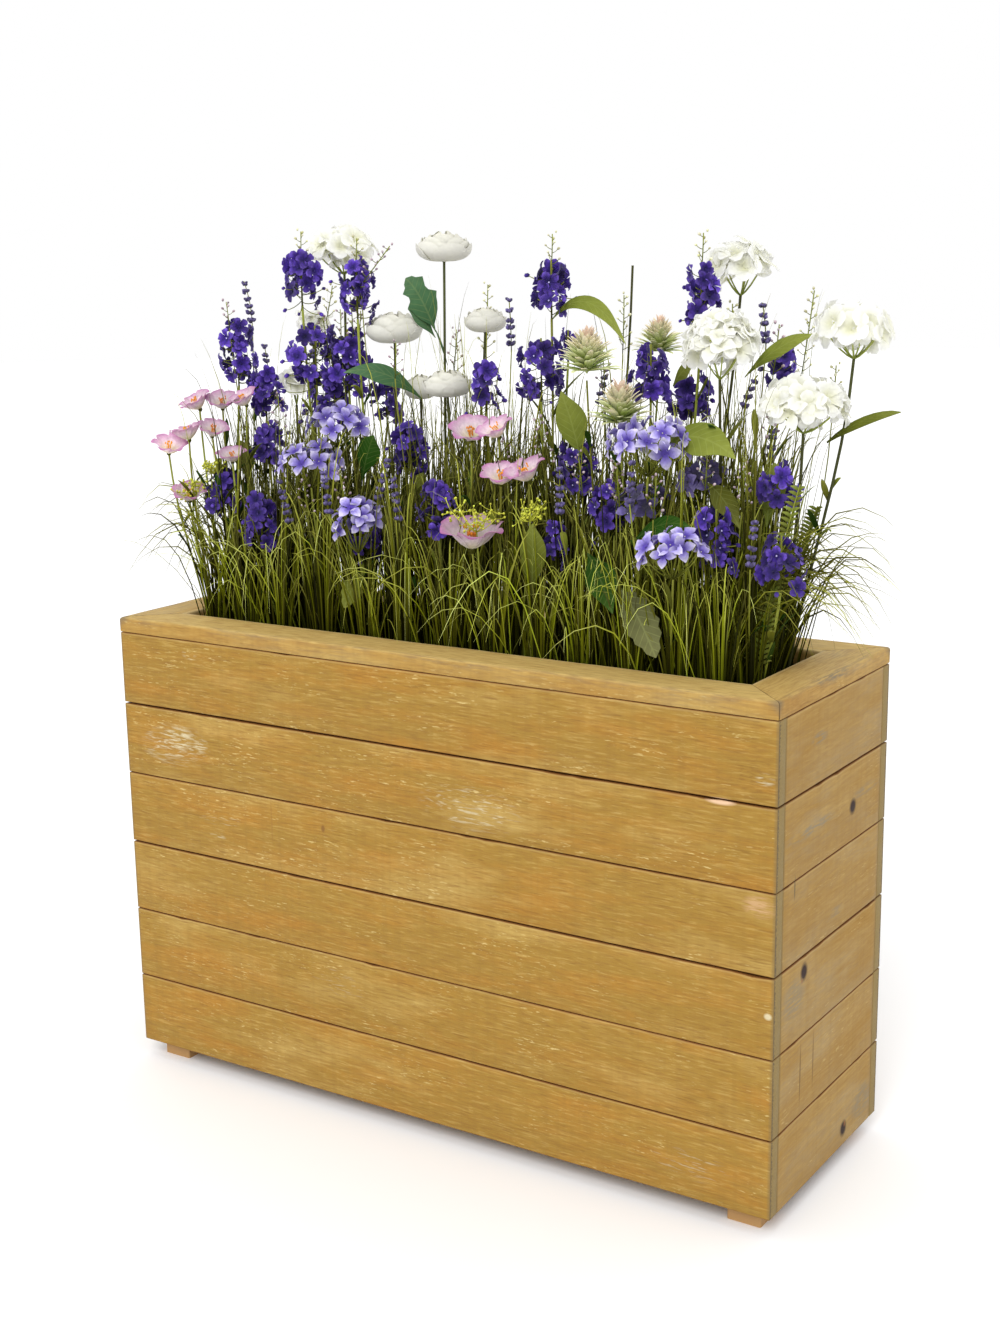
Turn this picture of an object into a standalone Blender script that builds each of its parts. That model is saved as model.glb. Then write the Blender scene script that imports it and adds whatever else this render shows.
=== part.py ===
"""Wooden flower planter: a box of softwood boards on four corner posts, filled
with soil and planted with a dense bed of flowers and grass.

Metres, +Z up, front at -Y. The origin is on the floor, under the middle of the
box. The planting plan is in whole millimetres from the same origin.
"""

import math
import random

import bmesh
import bpy
import numpy as np
from mathutils import Matrix, Vector

MM = 0.001
FIT = 0.0003  # the gap that touching pieces keep

# The box
BOX_LENGTH = 1.000
BOX_WIDTH = 0.332
BOARD_HEIGHT = 0.100
BOARD_THICKNESS = 0.020
BOARD_GAP = 0.0022
COURSES = 6
WORN_EDGE = 0.0015
POST_SIDE = 0.045
FOOT_HEIGHT = 0.025
CAP_WIDTH = 0.065
CAP_THICKNESS = 0.021
CAP_SEAM = 0.0007
CAP_CHAMFER = 0.004
FLOOR_THICKNESS = 0.018
FLOOR_RAISE = 0.003
SOIL_BELOW_RIM = 0.075

BOARD_PITCH = BOARD_HEIGHT + BOARD_GAP
BOARDS_TOP = FOOT_HEIGHT + COURSES * BOARD_PITCH - BOARD_GAP
RIM_TOP = BOARDS_TOP + CAP_SEAM + CAP_THICKNESS
INNER_LENGTH = BOX_LENGTH - 2 * BOARD_THICKNESS
INNER_WIDTH = BOX_WIDTH - 2 * BOARD_THICKNESS
MOUTH_LENGTH = BOX_LENGTH - 2 * CAP_WIDTH
MOUTH_WIDTH = BOX_WIDTH - 2 * CAP_WIDTH
FLOOR_BOTTOM = FOOT_HEIGHT + FLOOR_RAISE
SOIL_TOP = RIM_TOP - SOIL_BELOW_RIM

# Rootstocks stand in slots in the soil
ROOT_WIDTH = 0.012
ROOT_DEPTH = 0.040
ROOT_PROUD = 0.003
ROOT_END = 0.008
ROOT_SPREAD = 0.9
ROOT_LIMIT = 0.418
ROOTED = 0.012  # how far below the soil's surface a stem or blade starts

# Stems, leaves and grass
STEM_RADIUS = 0.0022
LEAF_THICKNESS = 0.0014
LEAF_ROOM = 0.42  # the radius of the room that a leaf takes, as a share of its width
BLADE_WIDTH = 0.0052
BLADE_THICKNESS = 0.0012
CLEARANCE = 0.0010
RIM_CLEARANCE = 0.004
LARKSPUR_STEP = 0.019  # how far apart its florets sit up the stem
TIP_WIDTH = 0.014
TIP_ROOT = 0.022  # how far a bud tip is sunk into its head
HEAD_SQUEEZE = 0.005  # how far the rooms of two heads may reach into each other
GOLDEN_TURN = math.radians(137.5)
TRIES = 400

# How far the longest grass reaches, the same each way, so that the whole
# plant stays centred over the box
REACH_X = 0.572
REACH_Y = 0.225

# Each bunch: its kind of flower, the depth of its row of roots, and its heads
# as (x, y, z of the middle, width, height, length of bud tip on top)
BUNCHES = {
    "larkspur_left": ("larkspur", -34, [
        (-445, 45, 1010, 56, 92, 0), (-400, 50, 955, 56, 70, 0), (-360, 5, 890, 52, 60, 0),
        (-420, -20, 820, 48, 60, 0), (-325, -60, 790, 55, 80, 0)]),
    "larkspur_back_left": ("larkspur", 14, [
        (-295, 10, 1115, 60, 72, 24), (-205, 15, 1100, 58, 78, 0), (-270, 10, 1010, 68, 66, 0),
        (-255, 60, 1000, 52, 72, 0), (-275, 45, 950, 60, 50, 0)]),
    "larkspur_centre_left": ("larkspur", -34, [
        (-220, 95, 945, 42, 70, 0), (-125, 20, 890, 52, 66, 0), (-30, -55, 830, 50, 64, 0),
        (-175, -30, 775, 46, 60, 0)]),
    "larkspur_centre": ("larkspur", 14, [
        (15, -10, 980, 48, 64, 0), (90, 30, 1100, 58, 72, 30), (80, 20, 1000, 66, 80, 0),
        (105, 45, 1030, 28, 38, 0)]),
    "larkspur_front": ("larkspur", -34, [
        (135, 20, 880, 50, 54, 0), (145, -55, 790, 36, 62, 0), (200, -20, 830, 48, 48, 0)]),
    "larkspur_back_right": ("larkspur", 14, [
        (240, 15, 1000, 58, 70, 0), (310, 10, 1095, 50, 78, 30), (280, 45, 970, 56, 56, 0),
        (385, 75, 1000, 50, 64, 0)]),
    "larkspur_right": ("larkspur", -34, [
        (435, -40, 880, 60, 52, 0), (370, -65, 815, 54, 74, 0), (455, -70, 795, 54, 66, 0)]),
    "ranunculus": ("ranunculus", 38, [
        (-90, 55, 1155, 78, 42, 0), (-170, 50, 1050, 82, 46, 0), (-40, 75, 1060, 60, 36, 0),
        (-140, 65, 970, 48, 36, 0), (-65, 20, 980, 70, 38, 0)]),
    "phlox_left": ("phlox", 38, [
        (-275, 80, 1150, 98, 50, 0), (-385, 100, 965, 42, 50, 0), (-345, 95, 1050, 50, 34, 0)]),
    "phlox_middle": ("phlox", 38, [
        (330, 75, 1125, 84, 54, 0), (365, -50, 1040, 92, 64, 0)]),
    "phlox_right": ("phlox", 14, [
        (500, 20, 1055, 96, 52, 0), (455, -15, 970, 110, 56, 0)]),
    "pink_left": ("pink", -58, [
        (-450, -35, 950, 46, 30, 0), (-425, -15, 950, 44, 30, 0), (-390, -5, 955, 42, 30, 0),
        (-480, -70, 890, 46, 30, 0), (-450, -60, 910, 46, 32, 0), (-420, -45, 915, 42, 32, 0),
        (-455, -60, 825, 46, 34, 0), (-385, -45, 880, 40, 30, 0)]),
    "pink_centre": ("pink", -58, [
        (15, -45, 930, 52, 34, 0), (60, -50, 935, 46, 32, 0), (75, -70, 880, 48, 34, 0),
        (110, -60, 885, 52, 34, 0), (50, -100, 805, 78, 44, 0)]),
    "lilac_left": ("lilac", -58, [
        (-210, -35, 925, 84, 38, 0), (-235, -60, 875, 84, 42, 0), (-140, -85, 805, 62, 52, 0)]),
    "lilac_right": ("lilac", -58, [
        (285, -75, 925, 100, 48, 0), (345, -125, 810, 82, 42, 0), (270, -60, 850, 56, 40, 0),
        (330, -25, 880, 56, 34, 0)]),
    "spiky_cream": ("spiky", 38, [
        (170, -20, 1025, 62, 66, 0), (220, 75, 1040, 52, 52, 0), (225, -35, 965, 58, 66, 0)]),
    "lavender_left": ("lavender", -10, [
        (-445, 80, 1080, 18, 60, 0), (-435, 100, 995, 16, 50, 0), (-320, 60, 1025, 16, 50, 0),
        (-250, -90, 825, 18, 60, 0), (-175, -100, 845, 16, 60, 0), (-125, -60, 860, 16, 60, 0)]),
    "lavender_centre": ("lavender", -10, [
        (-65, -95, 840, 16, 60, 0), (10, 60, 1055, 18, 66, 0), (120, 95, 975, 16, 50, 0),
        (175, -95, 865, 16, 60, 0)]),
    "lavender_right": ("lavender", -10, [
        (390, 20, 1060, 18, 50, 0), (365, 10, 980, 16, 44, 0), (440, -120, 825, 16, 60, 0),
        (285, -120, 885, 16, 50, 0), (390, 40, 925, 16, 50, 0)]),
}

# Each leaf: the bunch and the stem that it grows from, how far up that stem,
# its tip in millimetres, its width, its arch and whether its edge is lobed
LEAVES = [
    ("ranunculus", 0, 0.78, (-145, 45, 1110), 30, 6, True),
    ("ranunculus", 4, 0.90, (-200, -20, 990), 26, 14, False),
    ("larkspur_centre", 1, 0.84, (205, 10, 1040), 22, 40, False),
    ("larkspur_front", 0, 0.90, (135, -20, 975), 34, 6, False),
    ("lilac_right", 0, 0.86, (390, -70, 940), 38, 22, False),
    ("phlox_middle", 1, 0.88, (460, 0, 1050), 30, 10, False),
    ("larkspur_back_right", 1, 0.72, (320, -15, 1012), 20, 6, False),
    ("phlox_right", 1, 0.97, (560, 0, 962), 14, 8, False),
    ("larkspur_left", 2, 0.70, (-415, 5, 885), 30, 8, False),
    ("pink_centre", 4, 0.45, (130, -85, 810), 30, 14, False),
    ("lilac_right", 1, 0.60, (275, -85, 790), 30, 12, True),
    ("larkspur_right", 0, 0.70, (395, -60, 850), 24, 10, False),
    ("lilac_left", 2, 0.45, (-160, -90, 695), 30, 10, True),
]

# Grass: rows along the front and the back of the box, each in three tufts
GRASS_ROW = 0.086
GRASS_SPANS = {"left": (-0.418, -0.152), "middle": (-0.133, 0.133), "right": (0.152, 0.418)}
GRASS_BLADES = {"front": 25, "back": 20}
GRASS_LOW = 0.17
GRASS_HIGH = 0.33
GRASS_SWAY = 0.055
GRASS_LEAN = 0.045  # how far an upright blade leans out
ARCH_OUT = 0.050  # the least that an arching blade reaches out
ARCH_LOW = 0.10
ARCH_HIGH = 0.19
# The longest blades: the tuft, the root's x and the tip, in metres
LONG_BLADES = [
    ("grass_front_left", -0.415, (-REACH_X, -0.110, 0.750)),
    ("grass_front_left", -0.395, (-0.470, -0.150, 0.755)),
    ("grass_front_right", 0.405, (0.555, -0.090, 0.785)),
    ("grass_back_right", 0.412, (REACH_X, -0.010, 0.818)),
    ("grass_front_middle", -0.060, (-0.100, -REACH_Y, 0.700)),
    ("grass_back_middle", 0.050, (0.080, REACH_Y, 0.700)),
]
GRASS_OVERHANG = 4  # in each row of this many blades, one arches out over the rim


def start_collection(name):
    """A new collection in the scene."""
    group = bpy.data.collections.new(name)
    bpy.context.scene.collection.children.link(group)
    return group


def finish(name, red, green, blue, roughness):
    """A plain material of one colour."""
    material = bpy.data.materials.new(name)
    material.use_nodes = True
    surface = material.node_tree.nodes["Principled BSDF"]
    surface.inputs["Base Color"].default_value = (red, green, blue, 1.0)
    surface.inputs["Roughness"].default_value = roughness
    surface.inputs["Metallic"].default_value = 0.0
    return material


def mesh_of(shape, name, material=None):
    """The mesh of a bmesh, which is freed."""
    mesh = bpy.data.meshes.new(name)
    shape.to_mesh(mesh)
    shape.free()
    if material:
        mesh.materials.append(material)
    return mesh


def box_shape(length, width, height):
    """A box round its own middle."""
    shape = bmesh.new()
    bmesh.ops.create_cube(shape, size=1.0)
    bmesh.ops.scale(shape, vec=(length, width, height), verts=shape.verts)
    return shape


def place(name, mesh, location, turn=0.0):
    """An object of the planter at its place."""
    piece = bpy.data.objects.new(name, mesh)
    piece.location = location
    piece.rotation_euler.z = turn
    PARTS.objects.link(piece)
    return piece


def sawn_shape(length, width, height):
    """A sawn piece with its long edges worn; its ends stay square."""
    shape = box_shape(length, width, height)
    longest = max(length, width, height)
    long_edges = [edge for edge in shape.edges if edge.calc_length() > 0.9 * longest]
    bmesh.ops.bevel(shape, geom=long_edges, offset=WORN_EDGE, segments=1, affect="EDGES")
    return shape


def cutter(name, size, location):
    """A box that is cut out of the soil or the floor, and isn't part of the planter."""
    piece = bpy.data.objects.new(name, mesh_of(box_shape(*size), name))
    piece.location = location
    piece.hide_render = True
    piece.display_type = "WIRE"
    return piece


def cut(piece, group):
    """Cuts all that a collection holds out of a piece."""
    boolean = piece.modifiers.new("Cut", "BOOLEAN")
    boolean.operation = "DIFFERENCE"
    boolean.operand_type = "COLLECTION"
    boolean.collection = group


def build_boards():
    """Six courses of boards: long ones at the front and back, short ones between them."""
    long_mesh = mesh_of(sawn_shape(BOX_LENGTH, BOARD_THICKNESS, BOARD_HEIGHT), "long_board", WOOD)
    short_length = INNER_WIDTH - 2 * FIT
    short_mesh = mesh_of(sawn_shape(BOARD_THICKNESS, short_length, BOARD_HEIGHT), "short_board", WOOD)
    out_x = (BOX_LENGTH - BOARD_THICKNESS) / 2
    out_y = (BOX_WIDTH - BOARD_THICKNESS) / 2
    for course in range(COURSES):
        middle = FOOT_HEIGHT + course * BOARD_PITCH + BOARD_HEIGHT / 2
        sides = (
            ("front", long_mesh, (0.0, -out_y, middle)),
            ("back", long_mesh, (0.0, out_y, middle)),
            ("left", short_mesh, (-out_x, 0.0, middle)),
            ("right", short_mesh, (out_x, 0.0, middle)),
        )
        for side, mesh, location in sides:
            place(f"{side}_board_{course + 1}", mesh, location)


def build_posts(post_cutters):
    """Four corner posts, whose lower ends are the feet, and the notches that they need."""
    height = BOARDS_TOP - FIT
    mesh = mesh_of(sawn_shape(POST_SIDE, POST_SIDE, height), "post", FOOT_WOOD)
    notch = POST_SIDE + 2 * FIT
    out_x = INNER_LENGTH / 2 - FIT - POST_SIDE / 2
    out_y = INNER_WIDTH / 2 - FIT - POST_SIDE / 2
    for depth, y in (("front", -out_y), ("back", out_y)):
        for side, x in (("left", -out_x), ("right", out_x)):
            location = (x, y, height / 2)
            place(f"corner_post_{depth}_{side}", mesh, location)
            post_cutters.objects.link(cutter(f"notch_{depth}_{side}", (notch, notch, height), location))


def cap_shape(length):
    """One side of the mitred cap, its outer edge at -Y and its top outer edge chamfered."""
    shape = box_shape(length, CAP_WIDTH, CAP_THICKNESS)
    for corner in shape.verts:
        mitre = CAP_WIDTH if corner.co.y > 0 else 0.0
        corner.co.x -= math.copysign(mitre + FIT, corner.co.x)
    outer_top = [
        edge for edge in shape.edges
        if all(end.co.y < 0 and end.co.z > 0 for end in edge.verts)
    ]
    bmesh.ops.bevel(shape, geom=outer_top, offset=CAP_CHAMFER, segments=2, profile=0.6, affect="EDGES")
    return shape


def build_cap():
    """Four mitred pieces that cover the tops of the boards and the posts."""
    long_mesh = mesh_of(cap_shape(BOX_LENGTH), "long_cap", CAP_WOOD)
    short_mesh = mesh_of(cap_shape(BOX_WIDTH), "short_cap", CAP_WOOD)
    middle = RIM_TOP - CAP_THICKNESS / 2
    out_x = (BOX_LENGTH - CAP_WIDTH) / 2
    out_y = (BOX_WIDTH - CAP_WIDTH) / 2
    place("cap_front", long_mesh, (0.0, -out_y, middle))
    place("cap_back", long_mesh, (0.0, out_y, middle), math.pi)
    place("cap_left", short_mesh, (-out_x, 0.0, middle), -math.pi / 2)
    place("cap_right", short_mesh, (out_x, 0.0, middle), math.pi / 2)


def build_filling(post_cutters, slot_cutters):
    """The floor board and the soil, both notched round the posts."""
    length = INNER_LENGTH - 2 * FIT
    width = INNER_WIDTH - 2 * FIT
    floor_mesh = mesh_of(box_shape(length, width, FLOOR_THICKNESS), "floor_board", WOOD)
    floor = place("floor_board", floor_mesh, (0.0, 0.0, FLOOR_BOTTOM + FLOOR_THICKNESS / 2))
    cut(floor, post_cutters)
    soil_bottom = FLOOR_BOTTOM + FLOOR_THICKNESS + FIT
    soil_height = SOIL_TOP - soil_bottom
    soil_mesh = mesh_of(box_shape(length, width, soil_height), "soil", SOIL)
    soil = place("soil", soil_mesh, (0.0, 0.0, soil_bottom + soil_height / 2))
    cut(soil, post_cutters)
    cut(soil, slot_cutters)


def rod_distances(start, end, starts, ends):
    """How near one straight rod comes to each of many."""
    along = end - start
    others = ends - starts
    between = start - starts
    own = max(along @ along, 1e-12)
    lengths = np.maximum((others * others).sum(axis=1), 1e-12)
    f = (others * between).sum(axis=1)
    c = between @ along
    b = others @ along
    spread = own * lengths - b * b
    s = np.where(spread > 1e-12, (b * f - c * lengths) / np.maximum(spread, 1e-12), 0.0)
    s = np.clip(s, 0.0, 1.0)
    t = np.clip((b * s + f) / lengths, 0.0, 1.0)
    s = np.clip((b * t - c) / own, 0.0, 1.0)
    apart = between + s[:, None] * along - t[:, None] * others
    return np.sqrt((apart * apart).sum(axis=1))


class Room:
    """Remembers every stem, head, leaf and blade as rods, so that bunches stay clear of each other."""

    def __init__(self):
        self.owners = np.empty(0, dtype=object)
        self.starts = np.empty((0, 3))
        self.ends = np.empty((0, 3))
        self.radii = np.empty(0)

    def add(self, owner, path, radius):
        """Takes the room of a row of rods."""
        points = np.array([tuple(point) for point in path])
        count = len(points) - 1
        self.owners = np.append(self.owners, [owner] * count)
        self.starts = np.vstack([self.starts, points[:-1]])
        self.ends = np.vstack([self.ends, points[1:]])
        self.radii = np.append(self.radii, [radius] * count)

    def is_clear(self, owner, path, radius):
        """Whether a row of rods stays clear of all that other bunches hold, and of the rim."""
        if not clears_rim(path, radius):
            return False
        foreign = self.owners != owner
        starts = self.starts[foreign]
        ends = self.ends[foreign]
        reach = self.radii[foreign] + radius + CLEARANCE
        points = np.array([tuple(point) for point in path])
        return all(
            (rod_distances(start, end, starts, ends) > reach).all()
            for start, end in zip(points[:-1], points[1:])
        )


def clears_rim(path, radius):
    """Whether a path stays off the boards and the cap all the way."""
    margin = radius + RIM_CLEARANCE
    for start, end in zip(path[:-1], path[1:]):
        for step in range(9):
            point = start.lerp(end, step / 8)
            inside = abs(point.x) < MOUTH_LENGTH / 2 - margin and abs(point.y) < MOUTH_WIDTH / 2 - margin
            outside = abs(point.x) > BOX_LENGTH / 2 + margin or abs(point.y) > BOX_WIDTH / 2 + margin
            above = point.z > RIM_TOP + margin
            if not (inside or outside or above):
                return False
    return True


def head_rods(middle, width, height):
    """The rods that stand for a head: upright in a tall one, crossed flat in a wide one."""
    spread = abs(height - width) / 2
    if height >= width:
        rise = Vector((0.0, 0.0, spread))
        return [(middle - rise, middle + rise)], width / 2
    turns = [math.radians(45 * i) for i in range(4)]
    arms = [Vector((math.cos(turn), math.sin(turn), 0.0)) * spread for turn in turns]
    return [(middle - arm, middle + arm) for arm in arms], height / 2


def petal_star(reach, radius, petals, blunt, dome, lift=0.0):
    """A flower facing +Z, narrowing to a root at its origin; blunt petals have two corners."""
    shape = bmesh.new()
    root = shape.verts.new((0.0, 0.0, 0.0))
    centre = shape.verts.new((0.0, 0.0, reach + dome))
    step = 2 * math.pi / petals
    corners = (-blunt, blunt) if blunt else (0.0,)
    notches = []
    tips = []
    for petal in range(petals):
        turn = petal * step
        notch = 0.36 * radius
        notches.append(shape.verts.new((notch * math.cos(turn), notch * math.sin(turn), reach)))
        turns = [turn + step / 2 + corner * step for corner in corners]
        tips.append([
            shape.verts.new((radius * math.cos(t), radius * math.sin(t), reach + lift)) for t in turns
        ])
    for petal in range(petals):
        outline = [notches[petal], *tips[petal], notches[(petal + 1) % petals]]
        for first, second in zip(outline[:-1], outline[1:]):
            shape.faces.new((centre, first, second))
        shape.faces.new(reversed(outline))
        shape.faces.new((root, outline[-1], outline[0]))
    return shape


def turned_to(direction, spin):
    """A matrix that turns +Z to a direction, after a spin round it."""
    turn = direction.to_track_quat("Z", "Y").to_matrix().to_4x4()
    return turn @ Matrix.Rotation(spin, 4, "Z")


def star_at(root, direction, spin, **sizes):
    """A petal star whose root is at a point and which faces along a direction."""
    shape = petal_star(**sizes)
    shape.transform(Matrix.Translation(root) @ turned_to(direction, spin))
    return shape


def larkspur(middle, width, height, draw):
    """Florets in a spiral up the stem, facing outwards, and one on top."""
    radius = 0.36 * width
    count = max(3, round(height / LARKSPUR_STEP))
    shapes = []
    for i in range(count):
        share = (i + 0.5) / count
        turn = i * GOLDEN_TURN + draw.uniform(-0.2, 0.2)
        direction = Vector((math.cos(turn), math.sin(turn), draw.uniform(0.05, 0.35))).normalized()
        root = middle + Vector((0.0, 0.0, (share - 0.5) * (height - 1.3 * radius) - 0.002))
        shapes.append(star_at(
            root, direction, draw.uniform(0.0, 6.0), reach=width / 2 - 0.009, radius=radius,
            petals=4, blunt=0.0, dome=0.004, lift=-0.001))
    top = middle + Vector((0.0, 0.0, height / 2 - 0.018))
    shapes.append(star_at(
        top, Vector((0.2, -0.3, 1.0)).normalized(), 0.0, reach=0.012, radius=0.9 * radius,
        petals=4, blunt=0.0, dome=0.004, lift=-0.002))
    return shapes


def umbel(middle, width, height, draw, count, radius, lowest, root_drop):
    """Florets spread over a dome, all drawn in to one root below its middle."""
    shapes = []
    root = middle - Vector((0.0, 0.0, root_drop * height))
    for i in range(count):
        rise = 0.95 - (0.95 - lowest) * (i + 0.3) / count
        out = math.sqrt(1 - rise * rise)
        turn = i * GOLDEN_TURN + draw.uniform(-0.1, 0.1)
        face = middle + Vector((
            (0.5 * width - 0.45 * radius) * out * math.cos(turn),
            (0.5 * width - 0.45 * radius) * out * math.sin(turn),
            0.5 * height * rise,
        ))
        away = face - root
        shapes.append(star_at(
            root, away.normalized(), draw.uniform(0.0, 6.0), reach=away.length - 0.006,
            radius=radius, petals=4, blunt=0.0, dome=0.004))
    return shapes


def phlox(middle, width, height, draw):
    """A dense dome of four-petalled florets round a small core."""
    core = bmesh.new()
    bmesh.ops.create_icosphere(core, subdivisions=1, radius=0.30)
    bmesh.ops.scale(core, vec=(width, width, height), verts=core.verts)
    bmesh.ops.translate(core, vec=middle, verts=core.verts)
    count = 5 if width < 0.06 else 7
    radius = 0.014 if width < 0.06 else 0.019
    return [core, *umbel(middle, width, height, draw, count, radius, -0.15, 0.25)]


def lilac(middle, width, height, draw):
    """A loose flat cluster of florets on short stalks."""
    return umbel(middle, width, height, draw, 5, 0.17 * width, 0.05, 0.5)


def pink(middle, width, height, draw):
    """One open cup of five blunt petals with a raised eye."""
    root = middle - Vector((0.0, 0.0, height / 2))
    direction = Vector((draw.uniform(-0.2, 0.4), draw.uniform(-0.7, -0.2), 1.0)).normalized()
    return [star_at(
        root, direction, draw.uniform(0.0, 6.0), reach=0.55 * height, radius=0.48 * width,
        petals=5, blunt=0.2, dome=0.003, lift=0.2 * height)]


def ranunculus(middle, width, height, draw):
    """A flat globe whose rings step out and in as layers of lobed petals."""
    globe = bmesh.new()
    rings = 6
    bmesh.ops.create_uvsphere(globe, u_segments=10, v_segments=rings, radius=1.0)
    spin = draw.uniform(0.0, 6.0)
    for point in globe.verts:
        ring = round(math.acos(max(-1.0, min(1.0, point.co.z))) / math.pi * rings)
        around = math.atan2(point.co.y, point.co.x)
        lip = 1.04 if ring % 2 == 0 else 0.86
        lobe = 1.0 + 0.05 * math.cos(5 * around + math.pi * (ring // 2))
        point.co.x *= lip * lobe
        point.co.y *= lip * lobe
    bmesh.ops.scale(globe, vec=(0.46 * width, 0.46 * width, 0.5 * height), verts=globe.verts)
    globe.transform(Matrix.Translation(middle) @ Matrix.Rotation(spin, 4, "Z"))
    return [globe]


def drawn_out(shape, width, height, out, up, faces):
    """Pulls each of the faces out to a point, as a bud or a bract."""
    bmesh.ops.scale(shape, vec=(width, width, height), verts=shape.verts)
    poked = bmesh.ops.poke(shape, faces=faces)
    for point in poked["verts"]:
        flat = Vector((point.co.x, point.co.y, 0.0))
        point.co += flat.normalized() * out + Vector((0.0, 0.0, up))


def spiky(middle, width, height, draw):
    """A cone of pointed bracts in rings, leaning up and out."""
    head = bmesh.new()
    bmesh.ops.create_uvsphere(head, u_segments=7, v_segments=5, radius=0.5)
    drawn_out(head, 0.55 * width, 0.7 * height, 0.24 * width, 0.16 * height, head.faces[:])
    spin = Matrix.Rotation(draw.uniform(0.0, 6.0), 4, "Z")
    head.transform(Matrix.Translation(middle) @ spin)
    return [head]


def lavender(middle, width, height, draw):
    """A slim spike of buds in whorls."""
    spike = bmesh.new()
    bmesh.ops.create_uvsphere(spike, u_segments=3, v_segments=5, radius=0.5)
    sides = [face for face in spike.faces if len(face.verts) == 4]
    drawn_out(spike, 0.6 * width, height, 0.34 * width, 0.002, sides)
    spin = Matrix.Rotation(draw.uniform(0.0, 6.0), 4, "Z")
    spike.transform(Matrix.Translation(middle) @ spin)
    return [spike]


HEAD_MAKERS = {
    "larkspur": larkspur, "ranunculus": ranunculus, "phlox": phlox, "pink": pink,
    "lilac": lilac, "spiky": spiky, "lavender": lavender,
}
# How far a stem runs on into its head, as a share of the head's height from its
# middle, and how much thicker it is there
STEM_ENDS = {
    "larkspur": (0.30, 2.2), "ranunculus": (-0.25, 1.0), "phlox": (-0.10, 1.0), "pink": (-0.38, 1.0),
    "lilac": (-0.44, 1.8), "spiky": (-0.20, 1.0), "lavender": (-0.30, 0.8),
}


def loft(rings):
    """A closed shape skinned over rows of points, with a single point as a sharp end."""
    shape = bmesh.new()
    rows = [[shape.verts.new(point) for point in ring] for ring in rings]
    for low, high in zip(rows[:-1], rows[1:]):
        count = len(low)
        for i in range(count):
            j = (i + 1) % count
            if len(high) == 1:
                shape.faces.new((low[i], low[j], high[0]))
            else:
                shape.faces.new((low[i], low[j], high[j], high[i]))
    shape.faces.new(rows[0])
    bmesh.ops.recalc_face_normals(shape, faces=shape.faces)
    return shape


def arc_point(start, control, tip, share):
    """A point on the curve from start to tip that leans towards control."""
    return start.lerp(control, share).lerp(control.lerp(tip, share), share)


def leaf(start, control, tip, width, lobed):
    """A leaf with a folded midrib, narrow at its stalk; a lobed one has a cut edge."""
    plain = ((0.0, 0.06), (0.2, 0.35), (0.45, 1.0), (0.75, 0.75))
    cut_edge = ((0.0, 0.06), (0.25, 0.5), (0.38, 1.0), (0.5, 0.62), (0.62, 0.95), (0.76, 0.45), (0.86, 0.5))
    rings = []
    for share, spread in cut_edge if lobed else plain:
        point = arc_point(start, control, tip, share)
        ahead = arc_point(start, control, tip, share + 0.05) - point
        side = ahead.cross(Vector((0.0, 0.0, 1.0))).normalized()
        top = side.cross(ahead).normalized()
        half = side * width * spread / 2
        fold = top * width * spread * 0.10
        thick = top * LEAF_THICKNESS / 2
        rings.append([point - half + fold, point + thick, point + half + fold, point - thick])
    rings.append([tip])
    return loft(rings)


def blade(start, control, tip, width, levels):
    """A grass blade: three-sided, narrowing to its tip."""
    rings = []
    for level in range(levels):
        share = level / levels
        point = arc_point(start, control, tip, share)
        ahead = arc_point(start, control, tip, share + 0.05) - point
        outwards = Vector((tip.x - start.x, tip.y - start.y, 0.0)).normalized()
        side = ahead.cross(outwards).normalized() * width * (1 - 0.75 * share ** 2) / 2
        back = side.cross(ahead).normalized() * BLADE_THICKNESS
        rings.append([point - side, point + back, point + side])
    rings.append([tip])
    return loft(rings)


def loose(shape, name):
    """A shape as a loose object, ready to be fused."""
    return bpy.data.objects.new(name, mesh_of(shape, name))


def stem(path, end_radius, name):
    """A stem as a tube along its path, with its own radius at its end inside the head."""
    curve = bpy.data.curves.new(name, "CURVE")
    curve.dimensions = "3D"
    curve.bevel_depth = STEM_RADIUS
    curve.bevel_resolution = 0
    curve.use_fill_caps = True
    line = curve.splines.new("POLY")
    line.points.add(len(path) - 1)
    for point, place_of in zip(line.points, path):
        point.co = (*place_of, 1.0)
    line.points[-1].radius = end_radius
    tube = bpy.data.objects.new(name, curve)
    mesh = bpy.data.meshes.new_from_object(tube)
    bpy.data.objects.remove(tube)
    shape = bmesh.new()
    shape.from_mesh(mesh)
    bpy.data.meshes.remove(mesh)
    bmesh.ops.remove_doubles(shape, verts=shape.verts, dist=1e-6)
    bmesh.ops.recalc_face_normals(shape, faces=shape.faces)
    return loose(shape, name)


def keep_body(mesh):
    """Fills hollows that fusing sealed and drops scraps: only the largest shell stays."""
    shape = bmesh.new()
    shape.from_mesh(mesh)
    left = set(shape.verts)
    shells = []
    while left:
        shell = {left.pop()}
        edge_of_shell = list(shell)
        while edge_of_shell:
            point = edge_of_shell.pop()
            for edge in point.link_edges:
                other = edge.other_vert(point)
                if other in left:
                    left.remove(other)
                    shell.add(other)
                    edge_of_shell.append(other)
        shells.append(shell)
    shells.sort(key=len)
    for shell in shells[:-1]:
        bmesh.ops.delete(shape, geom=list(shell), context="VERTS")
    shape.to_mesh(mesh)
    shape.free()


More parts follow.
